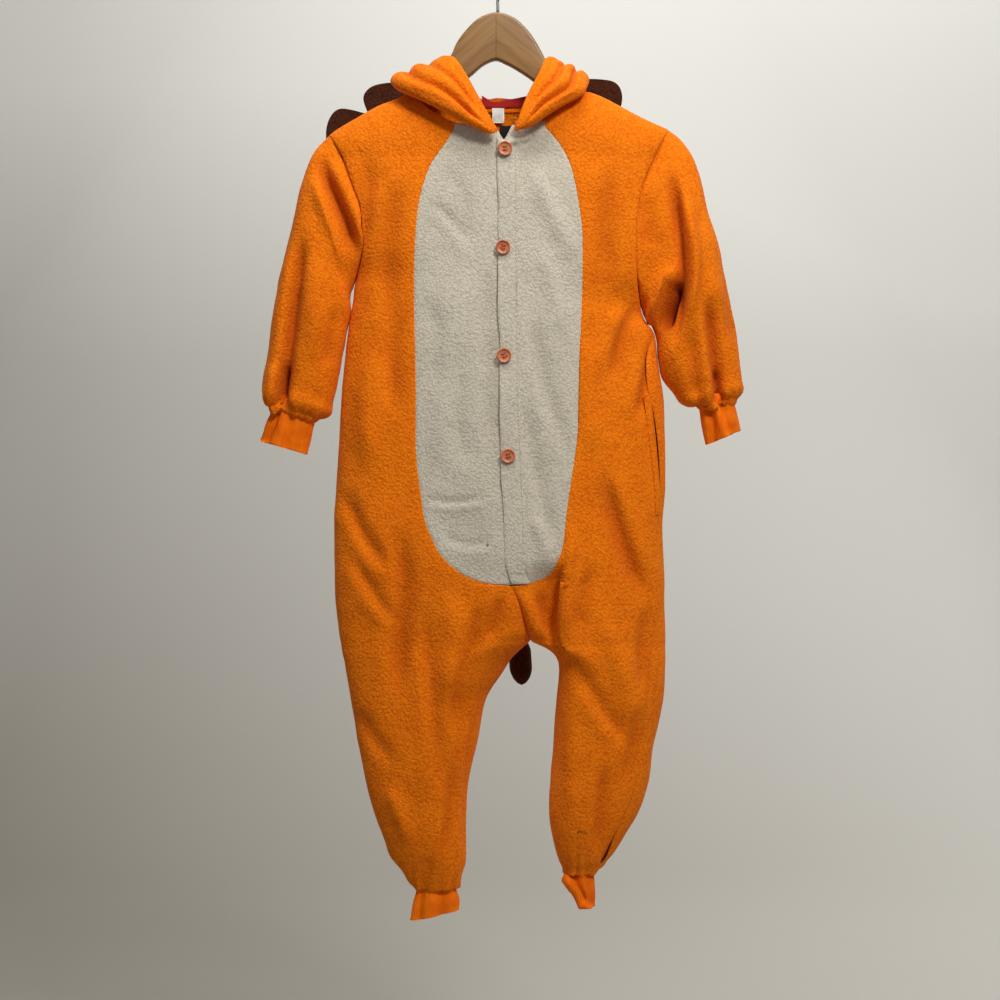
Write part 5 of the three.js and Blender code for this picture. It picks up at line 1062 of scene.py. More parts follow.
PU = notch(PU)
belly_under = cloth('belly_under', PU, FLEECE, FRONT, seams='u0 v0 v1', hems='u1', move=body_folds('belly_under'), seed=31, dip={'u0': .7, 'v0': .5, 'v1': .5})
done(belly_under, 'belly_under', 'fleece_cream', 'cream')
t_over = rows_along(B, 0, 13.12, .5, extra=[(12.55, 13.1, .035)])
xb = body(B, t_over, belly_w(B, t_over))[:, 0] - SEAM / 2
x_over = np.minimum(centre(t_over) + PLACKET_W - 1.5, xb - 1.2)
PO = panel('belly_over', t_over, x_over, xb)
belly_over = cloth('belly_over', PO, FLEECE, FRONT, seams='u1 v0 v1', move=body_folds('belly_over'), seed=32, dip={'u1': .7, 'v0': .5, 'v1': .5})
done(belly_over, 'belly_over', 'fleece_cream', 'cream')

t_band = rows_along(A, 0, 13.10, .2)
zb = body(A, t_band, np.full_like(t_band, .02))[:, 2]
xl = centre(t_band) - 1 + wob(zb, 5, 1.6) * smooth(0, .6, t_band)
xr = centre(t_band) + PLACKET_W + 1.0
PB = panel('placket_band', t_band, xl, xr, step=2.0)
share = np.linspace(0, 1, PB.shape[1])
s_ = (PB[..., 0] - PB[:, :1, 0]) / (PB[:, -1:, 0] - PB[:, :1, 0])
BUTTON_Z = [-207.9, -315.7, -434.5, -543.4]
gape = np.zeros(len(zb))
for za, zd, g in ((-208, -316, .6), (-316, -434, 2.0), (-434, -543, 2.6), (-543, -640, 1.4)):
    gape += g * np.clip(np.sin(PI * np.clip((zb - za) / (zd - za), 0, 1)), 0, 1)
lift = 2.6 - 1.6 * smooth(.55, 1.0, s_) + (gape[:, None]) * (1 - s_) ** 1.5 * smooth(-684, -640, PB[..., 2])
PB[..., 1] -= lift
PB = notch(PB)
placket = cloth('placket_band', PB, 2.5, FRONT, hems='u0 v0 v1', seams='u1', move=body_folds('placket_band'), wave=.35, seed=33, dip=1.2)
done(placket, 'placket_band', 'fleece_cream', 'cream')


# ---------------------------------------------------------------- sleeves
def ring(T, k, a, grow=0.0, power=.85):
    g = {c: at(T, 'k', c, k) for c in ('ox', 'oz', 'ux', 'uz', 'half')} if 'k' in T else {c: T[c][k] for c in ('ox', 'oz', 'ux', 'uz', 'half')}
    cx, cz, hx, hz = (g['ox'] + g['ux']) / 2, (g['oz'] + g['uz']) / 2, (g['ox'] - g['ux']) / 2, (g['oz'] - g['uz']) / 2
    h = np.hypot(hx, hz); q = (h + grow) / h; s = np.sin(a)
    return np.stack([cx + hx * q * np.cos(a), -(g['half'] + grow) * np.sign(s) * np.abs(s) ** power, cz + hz * q * np.cos(a)], -1)


def sleeve(S, T, cuff_rows):
    n = 104; a = 2 * PI * np.arange(n) / n
    a = a - .10 * np.sin(2 * a)                      # a little closer together on the flat faces
    back_ = a > PI; t = 5 * np.where(back_, 2 * PI - a, a) / PI
    P0 = body(S, t, np.where(back_, 1.00001, .99999))
    t1 = np.maximum(t, 1); e1 = at(S.rows, 't', 'edge', t1)
    e = np.where(t < 1, at(S.rows, 't', 'edge', np.ones_like(t)) * np.sqrt(np.maximum(0, 1 - (1 - t) ** 2)), e1)
    P0[:, 1] = np.where(back_, e, -e)
    C = [P0 * 1.0]
    for k in range(1, len(T['k'])):
        C.append(ring(T, float(T['k'][k]), a))
    C = np.array(C)
    d1 = C[1] - C[0]; d1 /= np.maximum(np.linalg.norm(d1, axis=-1, keepdims=True), 1e-6)
    C[0] += d1 * .5
    L = np.linalg.norm(np.diff(C, axis=0), axis=-1).mean(1).sum()
    e = EDGE; m = int(round((L - 2 * e[-1]) / 3.2))
    u = np.concatenate([e[:-1], np.linspace(e[-1], L - e[-1], m), L - e[:-1][::-1]]) / L
    P = catmull(C, u)
    # the sleeve's end turns in under the gathers to meet the cuff
    cf = cuff_rows; cc = np.array([(cf['ox'][1] + cf['ux'][1]) / 2, 0, (cf['oz'][1] + cf['uz'][1]) / 2])
    last = P[-1]; ext = []
    down = np.array([(cf['ox'][2] + cf['ux'][2]) / 2, 0, (cf['oz'][2] + cf['uz'][2]) / 2]) - cc; down /= np.linalg.norm(down)
    for k in range(1, 7):
        s = 1 - .27 * (k / 6) ** 1.2
        q = cc + (last - cc) * s + down * 4.2 * math.sin(k / 6 * 2.0)
        ext.append(q)
    P = np.concatenate([P, np.array(ext)])
    mv = body_folds('sleeve_' + S.key)
    rows = P.shape[0]
    def move(P_, N, near):
        away = np.abs((P_ - cc) @ down)                     # mm above the cuff line
        g = np.exp(-(away / 13) ** 2) * smooth(0, 2, near)
        ang = np.broadcast_to(a[None, :], P_.shape[:2])
        gather = g * (.65 * np.sin(13 * ang + 1.3 * np.sin(3 * ang + seedp)) + .55 * np.sin(7 * ang + 2 + seedp))
        puff = 2.6 * np.exp(-((away - 9) / 8) ** 2)
        inner = (1 - smooth(-.75, -.45, np.cos(ang))) * (2.2 * np.exp(-((P_[..., 2] + 392) / 26) ** 2) if S is A else 1.6 * np.exp(-((P_[..., 2] + 430) / 18) ** 2))
        return mv(P_, N, near) + gather + puff + inner * smooth(0, 6, near)
    seedp = 0.6 if S is A else 2.1
    ob = cloth('sleeve_' + S.key, P, FLEECE, 'out', loop=True, seams='v0', move=move, seed=41 + (S is B), dip={'v0': .6})
    return done(ob, 'sleeve_' + S.key, 'fleece_orange', 'orange')


sleeves = {'a': sleeve(A, SLEEVE_A, CUFF_ROWS['wrist_cuff_a']), 'b': sleeve(B, SLEEVE_B, CUFF_ROWS['wrist_cuff_b'])}


# ---------------------------------------------------------------- cuffs
CUFF_FOLDS = {
    'wrist_cuff_a': [([(276, 410), (270, 428), (264, 440)], 4, 3.2, .5, (1, 1)), ([(292, 415), (288, 432), (284, 446)], 4, 1.6, .2, (1, 1)), ([(304, 416), (303, 434), (301, 452)], 5, 1.2, 0, (1, 1))],
    'wrist_cuff_b': [([(708, 404), (712, 424), (712, 442)], 4, 2.2, .4, (1, 1)), ([(722, 404), (726, 420), (733, 436)], 4, 2.0, .4, (1, 1))],
    'ankle_cuff_a': [([(421, 892), (419, 906), (418, 918)], 4, 1.6, .3, (1, 1)), ([(440, 892), (441, 902), (440, 914)], 5, 1.4, .2, (1, 1))],
    'ankle_cuff_b': [([(572, 872), (577, 886), (584, 900)], 4, 3.0, .5, (1, 1)), ([(588, 872), (590, 888), (592, 902)], 4, 1.6, .2, (1, 1))],
}
FOLDS.update(CUFF_FOLDS)
BACK_FOLDS.update({k: [([(p[0] + 6, p[1]) for p in r[0]], r[1], r[2] * .8, r[3], r[4]) for r in v] for k, v in CUFF_FOLDS.items()})


def cuff(name):
    T = CUFF_ROWS[name]; n = 84; a = 2 * PI * np.arange(n) / n
    C = np.array([ring(T, k, a, power=.95) for k in range(len(T['ox']))])
    L = np.linalg.norm(np.diff(C, axis=0), axis=-1).mean(1).sum()
    u = np.concatenate([np.linspace(0, L - 4.6, int(L / 2.2)), L - EDGE[:-1][::-1]]) / L
    P = catmull(C, u)
    mv = body_folds(name)
    def move(P_, N, near):
        ang = np.broadcast_to(a[None, :], P_.shape[:2]); s = np.linspace(0, 1, P_.shape[0])[:, None]
        flare = .7 * smooth(.55, 1, s) * np.sin(5 * ang + 1.1) - .9 * np.exp(-((s - .82) / .10) ** 2) * .35
        gather = .5 * (1 - smooth(.1, .55, s)) * np.sin(26 * ang + 1.5 * np.sin(3 * ang))
        return mv(P_, N, near) + flare + gather
    ob = cloth(name, P, JERSEY, 'out', loop=True, hems='v1', move=move, wave=.45, seed=51 + len(name) + (name[-1] == 'b'))
    return done(ob, name, 'jersey_orange', 'cuff')


cuffs = {n: cuff(n) for n in CUFF_ROWS}


# ---------------------------------------------------------------- hood: neck edge to face edge
HB = [0, .0, .0, .06, .14, .24, .36, .5, .62, .74, .86, .95, 1]


def hood(S, T):
    aa = np.linspace(0, 10, 1400)
    g = lambda c, v: at(T, 'a', c, v)
    E = np.stack([g('ex', aa), g('ey', aa), g('ez', aa)], -1); N = np.stack([g('nx', aa), g('ny', aa), g('nz', aa)], -1); Cc = np.stack([g('cx', aa), g('cy', aa), g('cz', aa)], -1)
    ln = np.concatenate([[0], np.cumsum(np.linalg.norm(np.diff((E + N + Cc) / 3, axis=0), axis=-1))]); L = ln[-1]
    e = EDGE; m = int(round((L - 9.2) / 2.6))
    d = np.concatenate([e[:-1], np.linspace(4.6, L - 4.6, m), L - e[:-1][::-1]]); a = np.interp(d, ln, aa)
    N, E, Cc = [np.stack([g(k + c, a) for c in 'xyz'], -1) for k in 'nec']
    rise = np.clip(g('rise', a), 0, 1)[:, None]
    cols = []
    for j, b0 in enumerate(HB):
        hi_ = smooth(.1, .5, rise)
        bl = max(HB[j], [0, .015, .035][j] if j < 3 else 0)
        def p_of(b, start):
            s = math.sin(PI * b) ** .8 if b > 0 else 0
            return start * (1 - b) + E * b + (Cc - (N + E) / 2) * s
        low = p_of(bl, N)
        if j < 3:
            high = N + np.concatenate([0 * rise, [0, .4, 2][j] + 0 * rise, [0, 9, 12][j] * rise], 1)
        else:
            high = p_of(b0, N + np.concatenate([0 * rise, 4 + 0 * rise, 9 * rise], 1))
        p = low * (1 - hi_) + high * hi_
        if j >= 1:
            k = smooth(5.2, 5.8, a)
            lim = at(BODY_A, 'iz', 'back', p[:, 2]) + (1.2 if b0 < .5 else 4)
            p[:, 1] = p[:, 1] + k * (np.maximum(p[:, 1], lim) - p[:, 1])
        cols.append(p)
    C = np.stack(cols)                                   # control columns x rows x 3
    n = 58
    out = []
    for i in range(C.shape[1]):
        c = C[:, i]; ll = np.concatenate([[0], np.cumsum(np.linalg.norm(np.diff(c, axis=0), axis=-1))]); tot = ll[-1]
        ee = EDGE * min(1, tot / 30)
        dd = np.concatenate([ee[:-1], np.linspace(ee[-1], tot - ee[-1], n), tot - ee[:-1][::-1]]) / tot
        keep = np.concatenate([[True], np.diff(ll) > .05])
        out.append(catmull(c[keep], dd))
    P = np.array(out)
    # soften sharp bends between rows
    for _ in range(5):
        Q = P.copy(); Q[1:-1] = (P[:-2] + 2 * P[1:-1] + P[2:]) / 4; Q[:3] = P[:3]; Q[-3:] = P[-3:]; P = Q
    Sd = np.linspace(0, 1, P.shape[1])[None, :]; Aa = a[:, None]
    ref = P.mean(axis=1, keepdims=True)
    nn = grid_normals(P)
    flip = 1 if ((P - ref) * nn).sum(-1)[40:].mean() > 0 else -1
    def move(P_, Nn, near):
        front = smooth(.4, 1.5, Aa) * (1 - smooth(4.6, 5.6, Aa))
        b = Sd + .02 * np.sin(Aa * 2.1 + S.sign)
        fan = np.clip(1.15 - .12 * Aa, .6, 1.1)
        k1 = -5.5 * np.exp(-((b - HFOLD[S.key][0]) / .05) ** 2) * smooth(.8, 1.8, Aa) - 4.2 * np.exp(-((b - HFOLD[S.key][1]) / .045) ** 2) * smooth(1.2, 2.4, Aa)
        k2 = 2.4 * np.sin(PI * np.clip(b / HFOLD[S.key][0], 0, 1)) ** .8 + 1.8 * np.exp(-((b - (HFOLD[S.key][0] + HFOLD[S.key][1]) / 2) / .07) ** 2) + 1.8 * np.exp(-((b - .93) / .05) ** 2)
        k3 = -1.8 * np.exp(-((b - .30) / .05) ** 2) * smooth(2.0, 3.2, Aa) * (1 - smooth(4, 5, Aa))
        rear = smooth(5.6, 6.6, Aa)
        sag = rear * (3.2 * np.sin(2.1 * Aa + 4.2 * Sd + S.sign) * np.sin(PI * Sd) + 2.2 * noise(P_, 38, 77) - 4.0 * np.exp(-((Sd - .62 - .05 * np.sin(Aa * 1.7)) / .045) ** 2) * smooth(.2, .5, Sd) + 2.0 * np.exp(-((Sd - .45) / .08) ** 2))
        return front * (k1 + k2 + k3) + sag * smooth(0, 14, near)
    ob = cloth('hood_' + S.key, P, FLEECE, flip, seams='u0 v0 v1', hems='u1', move=move, wave=.7, seed=61 + (S is B))
    return done(ob, 'hood_' + S.key, 'fleece_orange', 'orange')


HFOLD = {'a': (.50, .76), 'b': (.44, .70)}
hoods = {'a': hood(A, HOOD_A), 'b': hood(B, HOOD_B)}


# ---------------------------------------------------------------- mane: padded scallops
def mane(S):
    T = MANE_PATH[S.key]; g = S.sign
    s = np.linspace(0, 1, LOBES * 30 + 1)
    pt = lambda v: np.stack([at(T, 's', c, np.clip(v, 0, 1)) for c in 'xyz'], -1)
    p = pt(s); d = pt(s + .045) - pt(s - .045); d /= np.linalg.norm(d, axis=-1, keepdims=True)
    out = np.stack([d[:, 2], 0 * s, -d[:, 0]], -1) * -g
    bad = (out[:, 0] * p[:, 0] < 0) & (np.abs(p[:, 0]) > 5); out[bad] *= -1
    out[s > .93, 2] = -np.abs(out[s > .93, 2]); out /= np.linalg.norm(out, axis=-1, keepdims=True)
    lobe = np.abs(np.sin(PI * LOBES * s))
    vary = 1 + .06 * np.sin(2.7 * np.floor(s * LOBES - 1e-6) + g)
    ln = MANE_BASE + (LOBE_LEN * vary - MANE_BASE) * lobe ** .52
    r = np.concatenate([np.linspace(0, .8, 12), [.86, .91, .95, .98, 1.0]])
    P = p[:, None] + out[:, None] * (2.5 + r[None, :, None] * ln[:, None, None])
    P = P + d[:, None] * (MANE_DROOP * r[None, :, None] ** 2 * np.minimum(1, (1 - s) * 6)[:, None, None])
    P[..., 1] -= 5 * r[None] ** 2
    # each lobe nods a little by itself
    idx = np.floor(s * LOBES - 1e-6)
    nod = np.sin(idx * 1.9 + (1.3 if g > 0 else .2))
    P[..., 1] += (2.2 * nod * np.sin(PI * ((s * LOBES) % 1)))[:, None] * r[None] ** 1.5
    edge = np.sqrt(np.clip(1 - r[None] ** 4, 0, 1)) * np.ones((len(s), 1)); valley = lobe[:, None] ** .35
    th = .8 + 4.6 * edge * (.35 + .65 * valley) * (1 - .35 * np.exp(-((r[None] - 0) / .12) ** 2))
    th = np.minimum(th, .8 + 5.5 * np.ones_like(th)) * np.where(r[None] > .995, .25, 1)
    N = grid_normals(P, False, 1)
    if N[..., 1].mean() < 0:
        fl = -1; N = -N
    else:
        fl = 1
    cu, cv = edge_distance(P)[1:]
    mid = P - N * 2.5
    w = .35 * noise(P, 9, 5)
    O = mid + N * (th / 2 + w)[..., None]; I = mid - N * (th / 2 + w)[..., None]
    areas['mane_' + S.key] = float(np.linalg.norm(np.cross(P[1:, 1:] - P[:-1, :-1], P[1:, :-1] - P[:-1, 1:]), axis=-1).sum() / 2 / 1e6)
    ob = shell('mane_' + S.key, O, I, False, fl, cu, cv)
    return done(ob, 'mane_' + S.key, 'fleece_brown', 'brown')


manes = {'a': mane(A), 'b': mane(B)}


# ---------------------------------------------------------------- tail
def tube(name, path, radii, n=40, step=2.5, flat=1.0, bumps=.0):
    path = np.asarray(path, float); L = np.linalg.norm(np.diff(path, axis=0), axis=1).sum()
    u = np.linspace(0, 1, int(L / step) + 8); c = catmull(path, u)
    seg = np.concatenate([[0], np.cumsum(np.linalg.norm(np.diff(path, axis=0), axis=1))]) / L
    T = table('s r', list(zip(seg, radii))); r = at(T, 's', 'r', u)
    d = np.gradient(c, axis=0); d /= np.linalg.norm(d, axis=1, keepdims=True)
    x = np.cross([1.0, 0, 0], d); x /= np.linalg.norm(x, axis=1, keepdims=True); y = np.cross(d, x)
    a = 2 * PI * np.arange(n) / n
    P = c[:, None] + r[:, None, None] * (np.cos(a)[None, :, None] * x[:, None] + np.sin(a)[None, :, None] * y[:, None] * flat)
    if bumps:
        P = P + grid_normals(P, True, 1)[..., :] * 0 + (P - c[:, None]) / np.maximum(r[:, None, None], 1) * (bumps * noise(P, 16, 3))[..., None]
        seam = np.exp(-((a - PI / 2) / .10) ** 2); P = P - (P - c[:, None]) / np.maximum(r[:, None, None], 1) * (1.0 * seam)[None, :, None]
    k = len(u); V = np.concatenate([P.reshape(-1, 3), c[:1], c[-1:]]) * .001
    ids = np.arange(k * n).reshape(k, n); i2 = np.concatenate([ids, ids[:, :1]], 1)
    q = np.stack([i2[:-1, :-1], i2[:-1, 1:], i2[1:, 1:], i2[1:, :-1]], -1).reshape(-1, 4)
    F = [tuple(f) for f in q] + [(k * n, i2[0, j + 1], i2[0, j]) for j in range(n)] + [(k * n + 1, i2[-1, j], i2[-1, j + 1]) for j in range(n)]
    me = bpy.data.meshes.new(name); me.from_pydata([tuple(v) for v in V], [], F); me.update()
    bm = bmesh.new(); bm.from_mesh(me); bmesh.ops.recalc_face_normals(bm, faces=bm.faces); bm.to_mesh(me); bm.free()
    me.polygons.foreach_set('use_smooth', np.ones(len(me.polygons), dtype=bool))
    ob = bpy.data.objects.new(name, me); bpy.context.scene.collection.objects.link(ob)
    L_ = me.uv_layers.new(name='lay'); vi = np.zeros(len(me.loops), dtype=np.int32); me.loops.foreach_get('vertex_index', vi)
    uvv = np.concatenate([np.stack(np.meshgrid(a * 12, u * L), -1).reshape(-1, 2), [[0, 0], [0, L]]]) * .001
    L_.data.foreach_set('uv', uvv[vi].astype(np.float32).ravel())
    return ob


tail = done(tube('tail', [(3, 55.5, -552), (3.2, 58, -556), (3.5, 61.5, -562), (5, 66, -580), (8, 67.5, -612), (10, 67, -640), (14, 65.5, -670), (18, 64, -700), (22, 61, -728), (25, 58, -752.5)], [9, 10.4, 11.6, 12, 12.3, 11.8, 12.2, 11.9, 12.2, 11.2], bumps=.9), 'tail', 'fleece_orange', 'orange')
tuft = done(tube('tail_tuft', [(25.3, 57.7, -753.4), (25.5, 57.3, -757), (25.8, 56.9, -762), (26.6, 56, -775), (27.4, 55, -787), (27.8, 54.6, -795), (27.9, 54.5, -798), (28, 54.5, -799.5)], [10.6, 12.0, 12.9, 12.9, 11.2, 7.2, 4.2, 1.0], step=1.2, bumps=.8), 'tail_tuft', 'fleece_brown', 'brown')


# ---------------------------------------------------------------- pocket, lining, labels
def pocket():
    n = 48; a = 2 * PI * np.arange(n) / n
    T = bagRows; C = []
    for i in range(len(T['x'])):
        C.append(np.stack([T['x'][i] + T['tilt'][i] * T['tall'][i] * np.cos(a), T['y'][i] - T['thick'][i] * .92 * np.sin(a), T['z'][i] + T['tall'][i] * np.cos(a)], -1))
    C.append(np.tile(np.array([[49.3, -17, -560.]]), (n, 1)) + np.stack([0 * a, -.3 * np.sin(a), 3 * np.cos(a)], -1))
    P = catmull(np.array(C), np.linspace(0, 1, 34))
    N = grid_normals(P, True, 1); fl = 1 if ((P - P.mean(1, keepdims=True)) * N).sum() > 0 else -1
    return done(cloth('pocket_bag', P, 1.5, fl, loop=True, hems='v0', wave=.3, seed=71), 'pocket_bag', 'jersey_orange', 'bag')


pocket_bag = pocket()
te = rows_along(B, 7.9, 10.7, .8)
we = at(BODY_B, 't', 'seamOut', te)
PE, _ = across(lambda W: body(B, np.broadcast_to(te[:, None], W.shape), W, 2.1), we - .062, we - .006, step=2.0)
pocket_edge = done(cloth('pocket_edge', PE, 1.3, FRONT, hems='u0 u1 v0 v1', wave=.2, seed=72), 'pocket_edge', 'fleece_orange', 'orange')


def strip(name, P, wall, node, slot, mat, want):
    N = grid_normals(P); fl = 1 if (N @ np.array(want, float)).mean() > 0 else -1
    return done(cloth(name, P, wall, fl, hems='u0 u1 v0 v1', wave=0), node, slot, mat)


x = np.linspace(-17, 35, 40); v = np.linspace(0, 1, 12)
hi, lo = at(LIN, 'x', 'high', x), at(LIN, 'x', 'low', x)
PL = np.stack([np.broadcast_to(x[None], (12, 40)), np.broadcast_to(23.7 - np.abs(x) * .03, (12, 40)) + .5 * np.sin(x / 5)[None] * (1 - v[:, None]), hi[None] + (lo - hi)[None] * v[:, None]], -1)
neck_lining = strip('neck_lining', PL, 1.3, 'neck_lining', 'jersey_red', 'red', (0, -1, 0))
def label(name, x0, x1, z0, z1, y, bend, mat, slot):
    xx = np.linspace(x0, x1, 16); vv = np.linspace(0, 1, 18)
    P = np.stack([np.broadcast_to(xx[None], (18, 16)) + .3 * np.sin(vv * 3)[:, None], y + bend * np.sin(vv * PI)[:, None] * (1 + .3 * np.cos((xx - x0) / (x1 - x0) * PI))[None], np.broadcast_to((z0 + (z1 - z0) * vv)[:, None], (18, 16)) + 0], -1)
    return strip(name, P, .45, name, slot, mat, (0, -1, 0))
label_white = label('label_white', -5.5, 7.7, -155, -171.5, 21.2, -.9, 'white', 'label_white')
# label_dark: a nearly black sheet set just behind the point of the neck opening.
label_dark = label('label_dark', 2.5, 15.5, -184, -200, -24.5, -.4, 'dark', 'label_dark')


# ---------------------------------------------------------------- buttons
def lathe(name, prof, n=56):
    prof = np.array(prof, float); a = 2 * PI * np.arange(n) / n
    P = np.stack([prof[:, None, 0] * np.cos(a)[None], np.broadcast_to(-prof[:, None, 1], (len(prof), n)), prof[:, None, 0] * np.sin(a)[None]], -1)
    k = len(prof); ids = np.arange(k * n).reshape(k, n); i2 = np.concatenate([ids, ids[:, :1]], 1)
    q = np.stack([i2[:-1, :-1], i2[:-1, 1:], i2[1:, 1:], i2[1:, :-1]], -1).reshape(-1, 4)
    bm = bmesh.new(); vs = [bm.verts.new(v * .001) for v in P.reshape(-1, 3)]
    for f in q:
        try: bm.faces.new([vs[i] for i in f])
        except ValueError: pass
    bmesh.ops.remove_doubles(bm, verts=bm.verts, dist=1e-6); bmesh.ops.recalc_face_normals(bm, faces=bm.faces)
    me = bpy.data.meshes.new(name); bm.to_mesh(me); bm.free()
    ob = bpy.data.objects.new(name, me); bpy.context.scene.collection.objects.link(ob)
    return ob


def cut(ob, cutter):
    m = ob.modifiers.new('cut', 'BOOLEAN'); m.operation = 'DIFFERENCE'; m.object = cutter; m.solver = 'EXACT'
    bpy.context.view_layer.objects.active = ob
    dg = bpy.context.evaluated_depsgraph_get(); me = bpy.data.meshes.new_from_object(ob.evaluated_get(dg)); ob.modifiers.clear(); old = ob.data; ob.data = me; bpy.data.meshes.remove(old)


def button(i, x, z, y, turn):
    R, T = BUTTON_D / 2, BUTTON_T
    prof = [(0.001, 0), (R - 1.6, 0), (R - .5, .35), (R - .1, 1.0), (R, 1.7), (R - .15, T - .8), (R - .5, T - .25), (R - 1.0, T), (R - 1.5, T - .12), (R - 1.9, T - .5), (R - 2.2, T - 1.0), (R - 2.6, T - 1.25), (R - 3.6, T - 1.32), (0.001, T - 1.3)]
    ob = lathe('button_%d' % i, prof)
    bm = bmesh.new()
    for hx in (-1, 1):
        for hz in (-1, 1):
            r = bmesh.ops.create_cone(bm, cap_ends=True, segments=18, radius1=.00095, radius2=.00095, depth=.012)
            for v_ in r['verts']:
                xx, yy, zz = v_.co; v_.co = (xx + hx * .00175, zz, yy + hz * .00175)
    bmesh.ops.recalc_face_normals(bm, faces=bm.faces)
    me = bpy.data.meshes.new('holes'); bm.to_mesh(me); bm.free(); c = bpy.data.objects.new('holes', me); bpy.context.scene.collection.objects.link(c)
    cut(ob, c); bpy.data.objects.remove(c); bpy.data.meshes.remove(me)
    ca, sa = math.cos(turn), math.sin(turn)
    for v_ in ob.data.vertices:
        X, Y, Z = v_.co; v_.co = ((ca * X - sa * Z) + x * .001, Y + y * .001, (sa * X + ca * Z) + z * .001)
    for p in ob.data.polygons: p.use_smooth = True
    try: ob.data.set_sharp_from_angle(angle=math.radians(38))
    except Exception: pass
    # thread: two bars through the holes and a few turns below
    th = []
    for hz in (-1, 1):
        for k in range(3):
            off = (k - 1) * .42
            pts = [(-1.75 + off * .3, -.4, hz * 1.75 + off), (-1.6, -(T - 1.15), hz * 1.75 + off * .9), (-.8, -(T - .62), hz * 1.75 + off), (0, -(T - .5), hz * 1.75 + off), (.8, -(T - .62), hz * 1.75 + off), (1.6, -(T - 1.15), hz * 1.75 + off * .9), (1.75 - off * .3, -.4, hz * 1.75 + off)]
            pts = [((ca * a_ - sa * c_) + x, b_ + y, (sa * a_ + ca * c_) + z) for a_, b_, c_ in pts]
            th.append(pts)
    t_ob = threads('button_%d_thread' % i, th, .26)
    t_ob.data.materials.append(MAT['thread_salmon']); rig.ride(t_ob, "root"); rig.slot(t_ob, 'button_salmon')
    done(ob, 'button_%d' % i, 'button_salmon', 'button')
    return ob


def threads(name, lines, r, n=6, sub=8):
    Vs, Fs = [], []; base = 0
    a = 2 * PI * np.arange(n) / n
    for pts in lines:
        c = catmull(np.array(pts, float), np.linspace(0, 1, sub))
        d = np.gradient(c, axis=0); d /= np.maximum(np.linalg.norm(d, axis=1, keepdims=True), 1e-9)
        up = np.array([.1, .2, 1.0]); x_ = np.cross(up, d); x_ /= np.maximum(np.linalg.norm(x_, axis=1, keepdims=True), 1e-9); y_ = np.cross(d, x_)
        rr = np.full(len(c), r); rr[0] *= .5; rr[-1] *= .5
        P = c[:, None] + rr[:, None, None] * (np.cos(a)[None, :, None] * x_[:, None] + np.sin(a)[None, :, None] * y_[:, None])
        k = len(c); ids = base + np.arange(k * n).reshape(k, n); i2 = np.concatenate([ids, ids[:, :1]], 1)
        Fs += [tuple(int(q) for q in f) for f in np.stack([i2[:-1, :-1], i2[:-1, 1:], i2[1:, 1:], i2[1:, :-1]], -1).reshape(-1, 4)]
        Fs.append(tuple(int(q) for q in ids[0][::-1])); Fs.append(tuple(int(q) for q in ids[-1]))
        Vs.append(P.reshape(-1, 3)); base += k * n
    V = np.concatenate(Vs) * .001
    me = bpy.data.meshes.new(name); me.from_pydata([tuple(v_) for v_ in V], [], Fs); me.update()
    bm = bmesh.new(); bm.from_mesh(me); bmesh.ops.recalc_face_normals(bm, faces=bm.faces); bm.to_mesh(me); bm.free()
    for p in me.polygons: p.use_smooth = True
    ob = bpy.data.objects.new(name, me); bpy.context.scene.collection.objects.link(ob)
    return ob


# where the band's face is, so that each button lies on it
band_v = np.array([v_.co for v_ in placket.data.vertices]) * 1000
buttons = []
for i in range(4):
    bx, bz = BUTTONS['x'][i], BUTTONS['z'][i] - [3.2, 2.8, 1.0, 0][i]
    near_ = band_v[np.hypot(band_v[:, 0] - bx, band_v[:, 2] - bz) < 8]
    y = near_[:, 1].min() - .25
    buttons.append(button(i + 1, bx, bz, y, [.12, -.3, .5, .2][i]))


def on_band(x, z):
    q = band_v[np.hypot(band_v[:, 0] - x, band_v[:, 2] - z) < 3.2]
    return (x, (q[:, 1].min() if len(q) else -30) - .05, z)


# the band's stitched line and the stitched box at its lower end
line_x = lambda z: float(np.interp(z, zb[::-1], xr[::-1])) - 4.6
runs = [[(line_x(z), z), (line_x(z - 2.3), z - 2.3)] for z in np.arange(-176, -655, -3.3)]
for zz_ in (-668.5, -678.0):
    left_ = float(np.interp(zz_, zb[::-1], xl[::-1])) + 2.6; right_ = line_x(zz_) + .4
    runs += [[(x_, zz_), (x_ + 2.2, zz_)] for x_ in np.arange(left_, right_ - 2, 3.1)]
stitched = threads('band_stitches', [[on_band(*a_), on_band((a_[0] + b_[0]) / 2, (a_[1] + b_[1]) / 2), on_band(*b_)] for a_, b_ in runs], .30, n=5, sub=4)
stitched.data.materials.append(MAT['thread_cream']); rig.ride(stitched, "root"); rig.slot(stitched, 'fleece_cream')


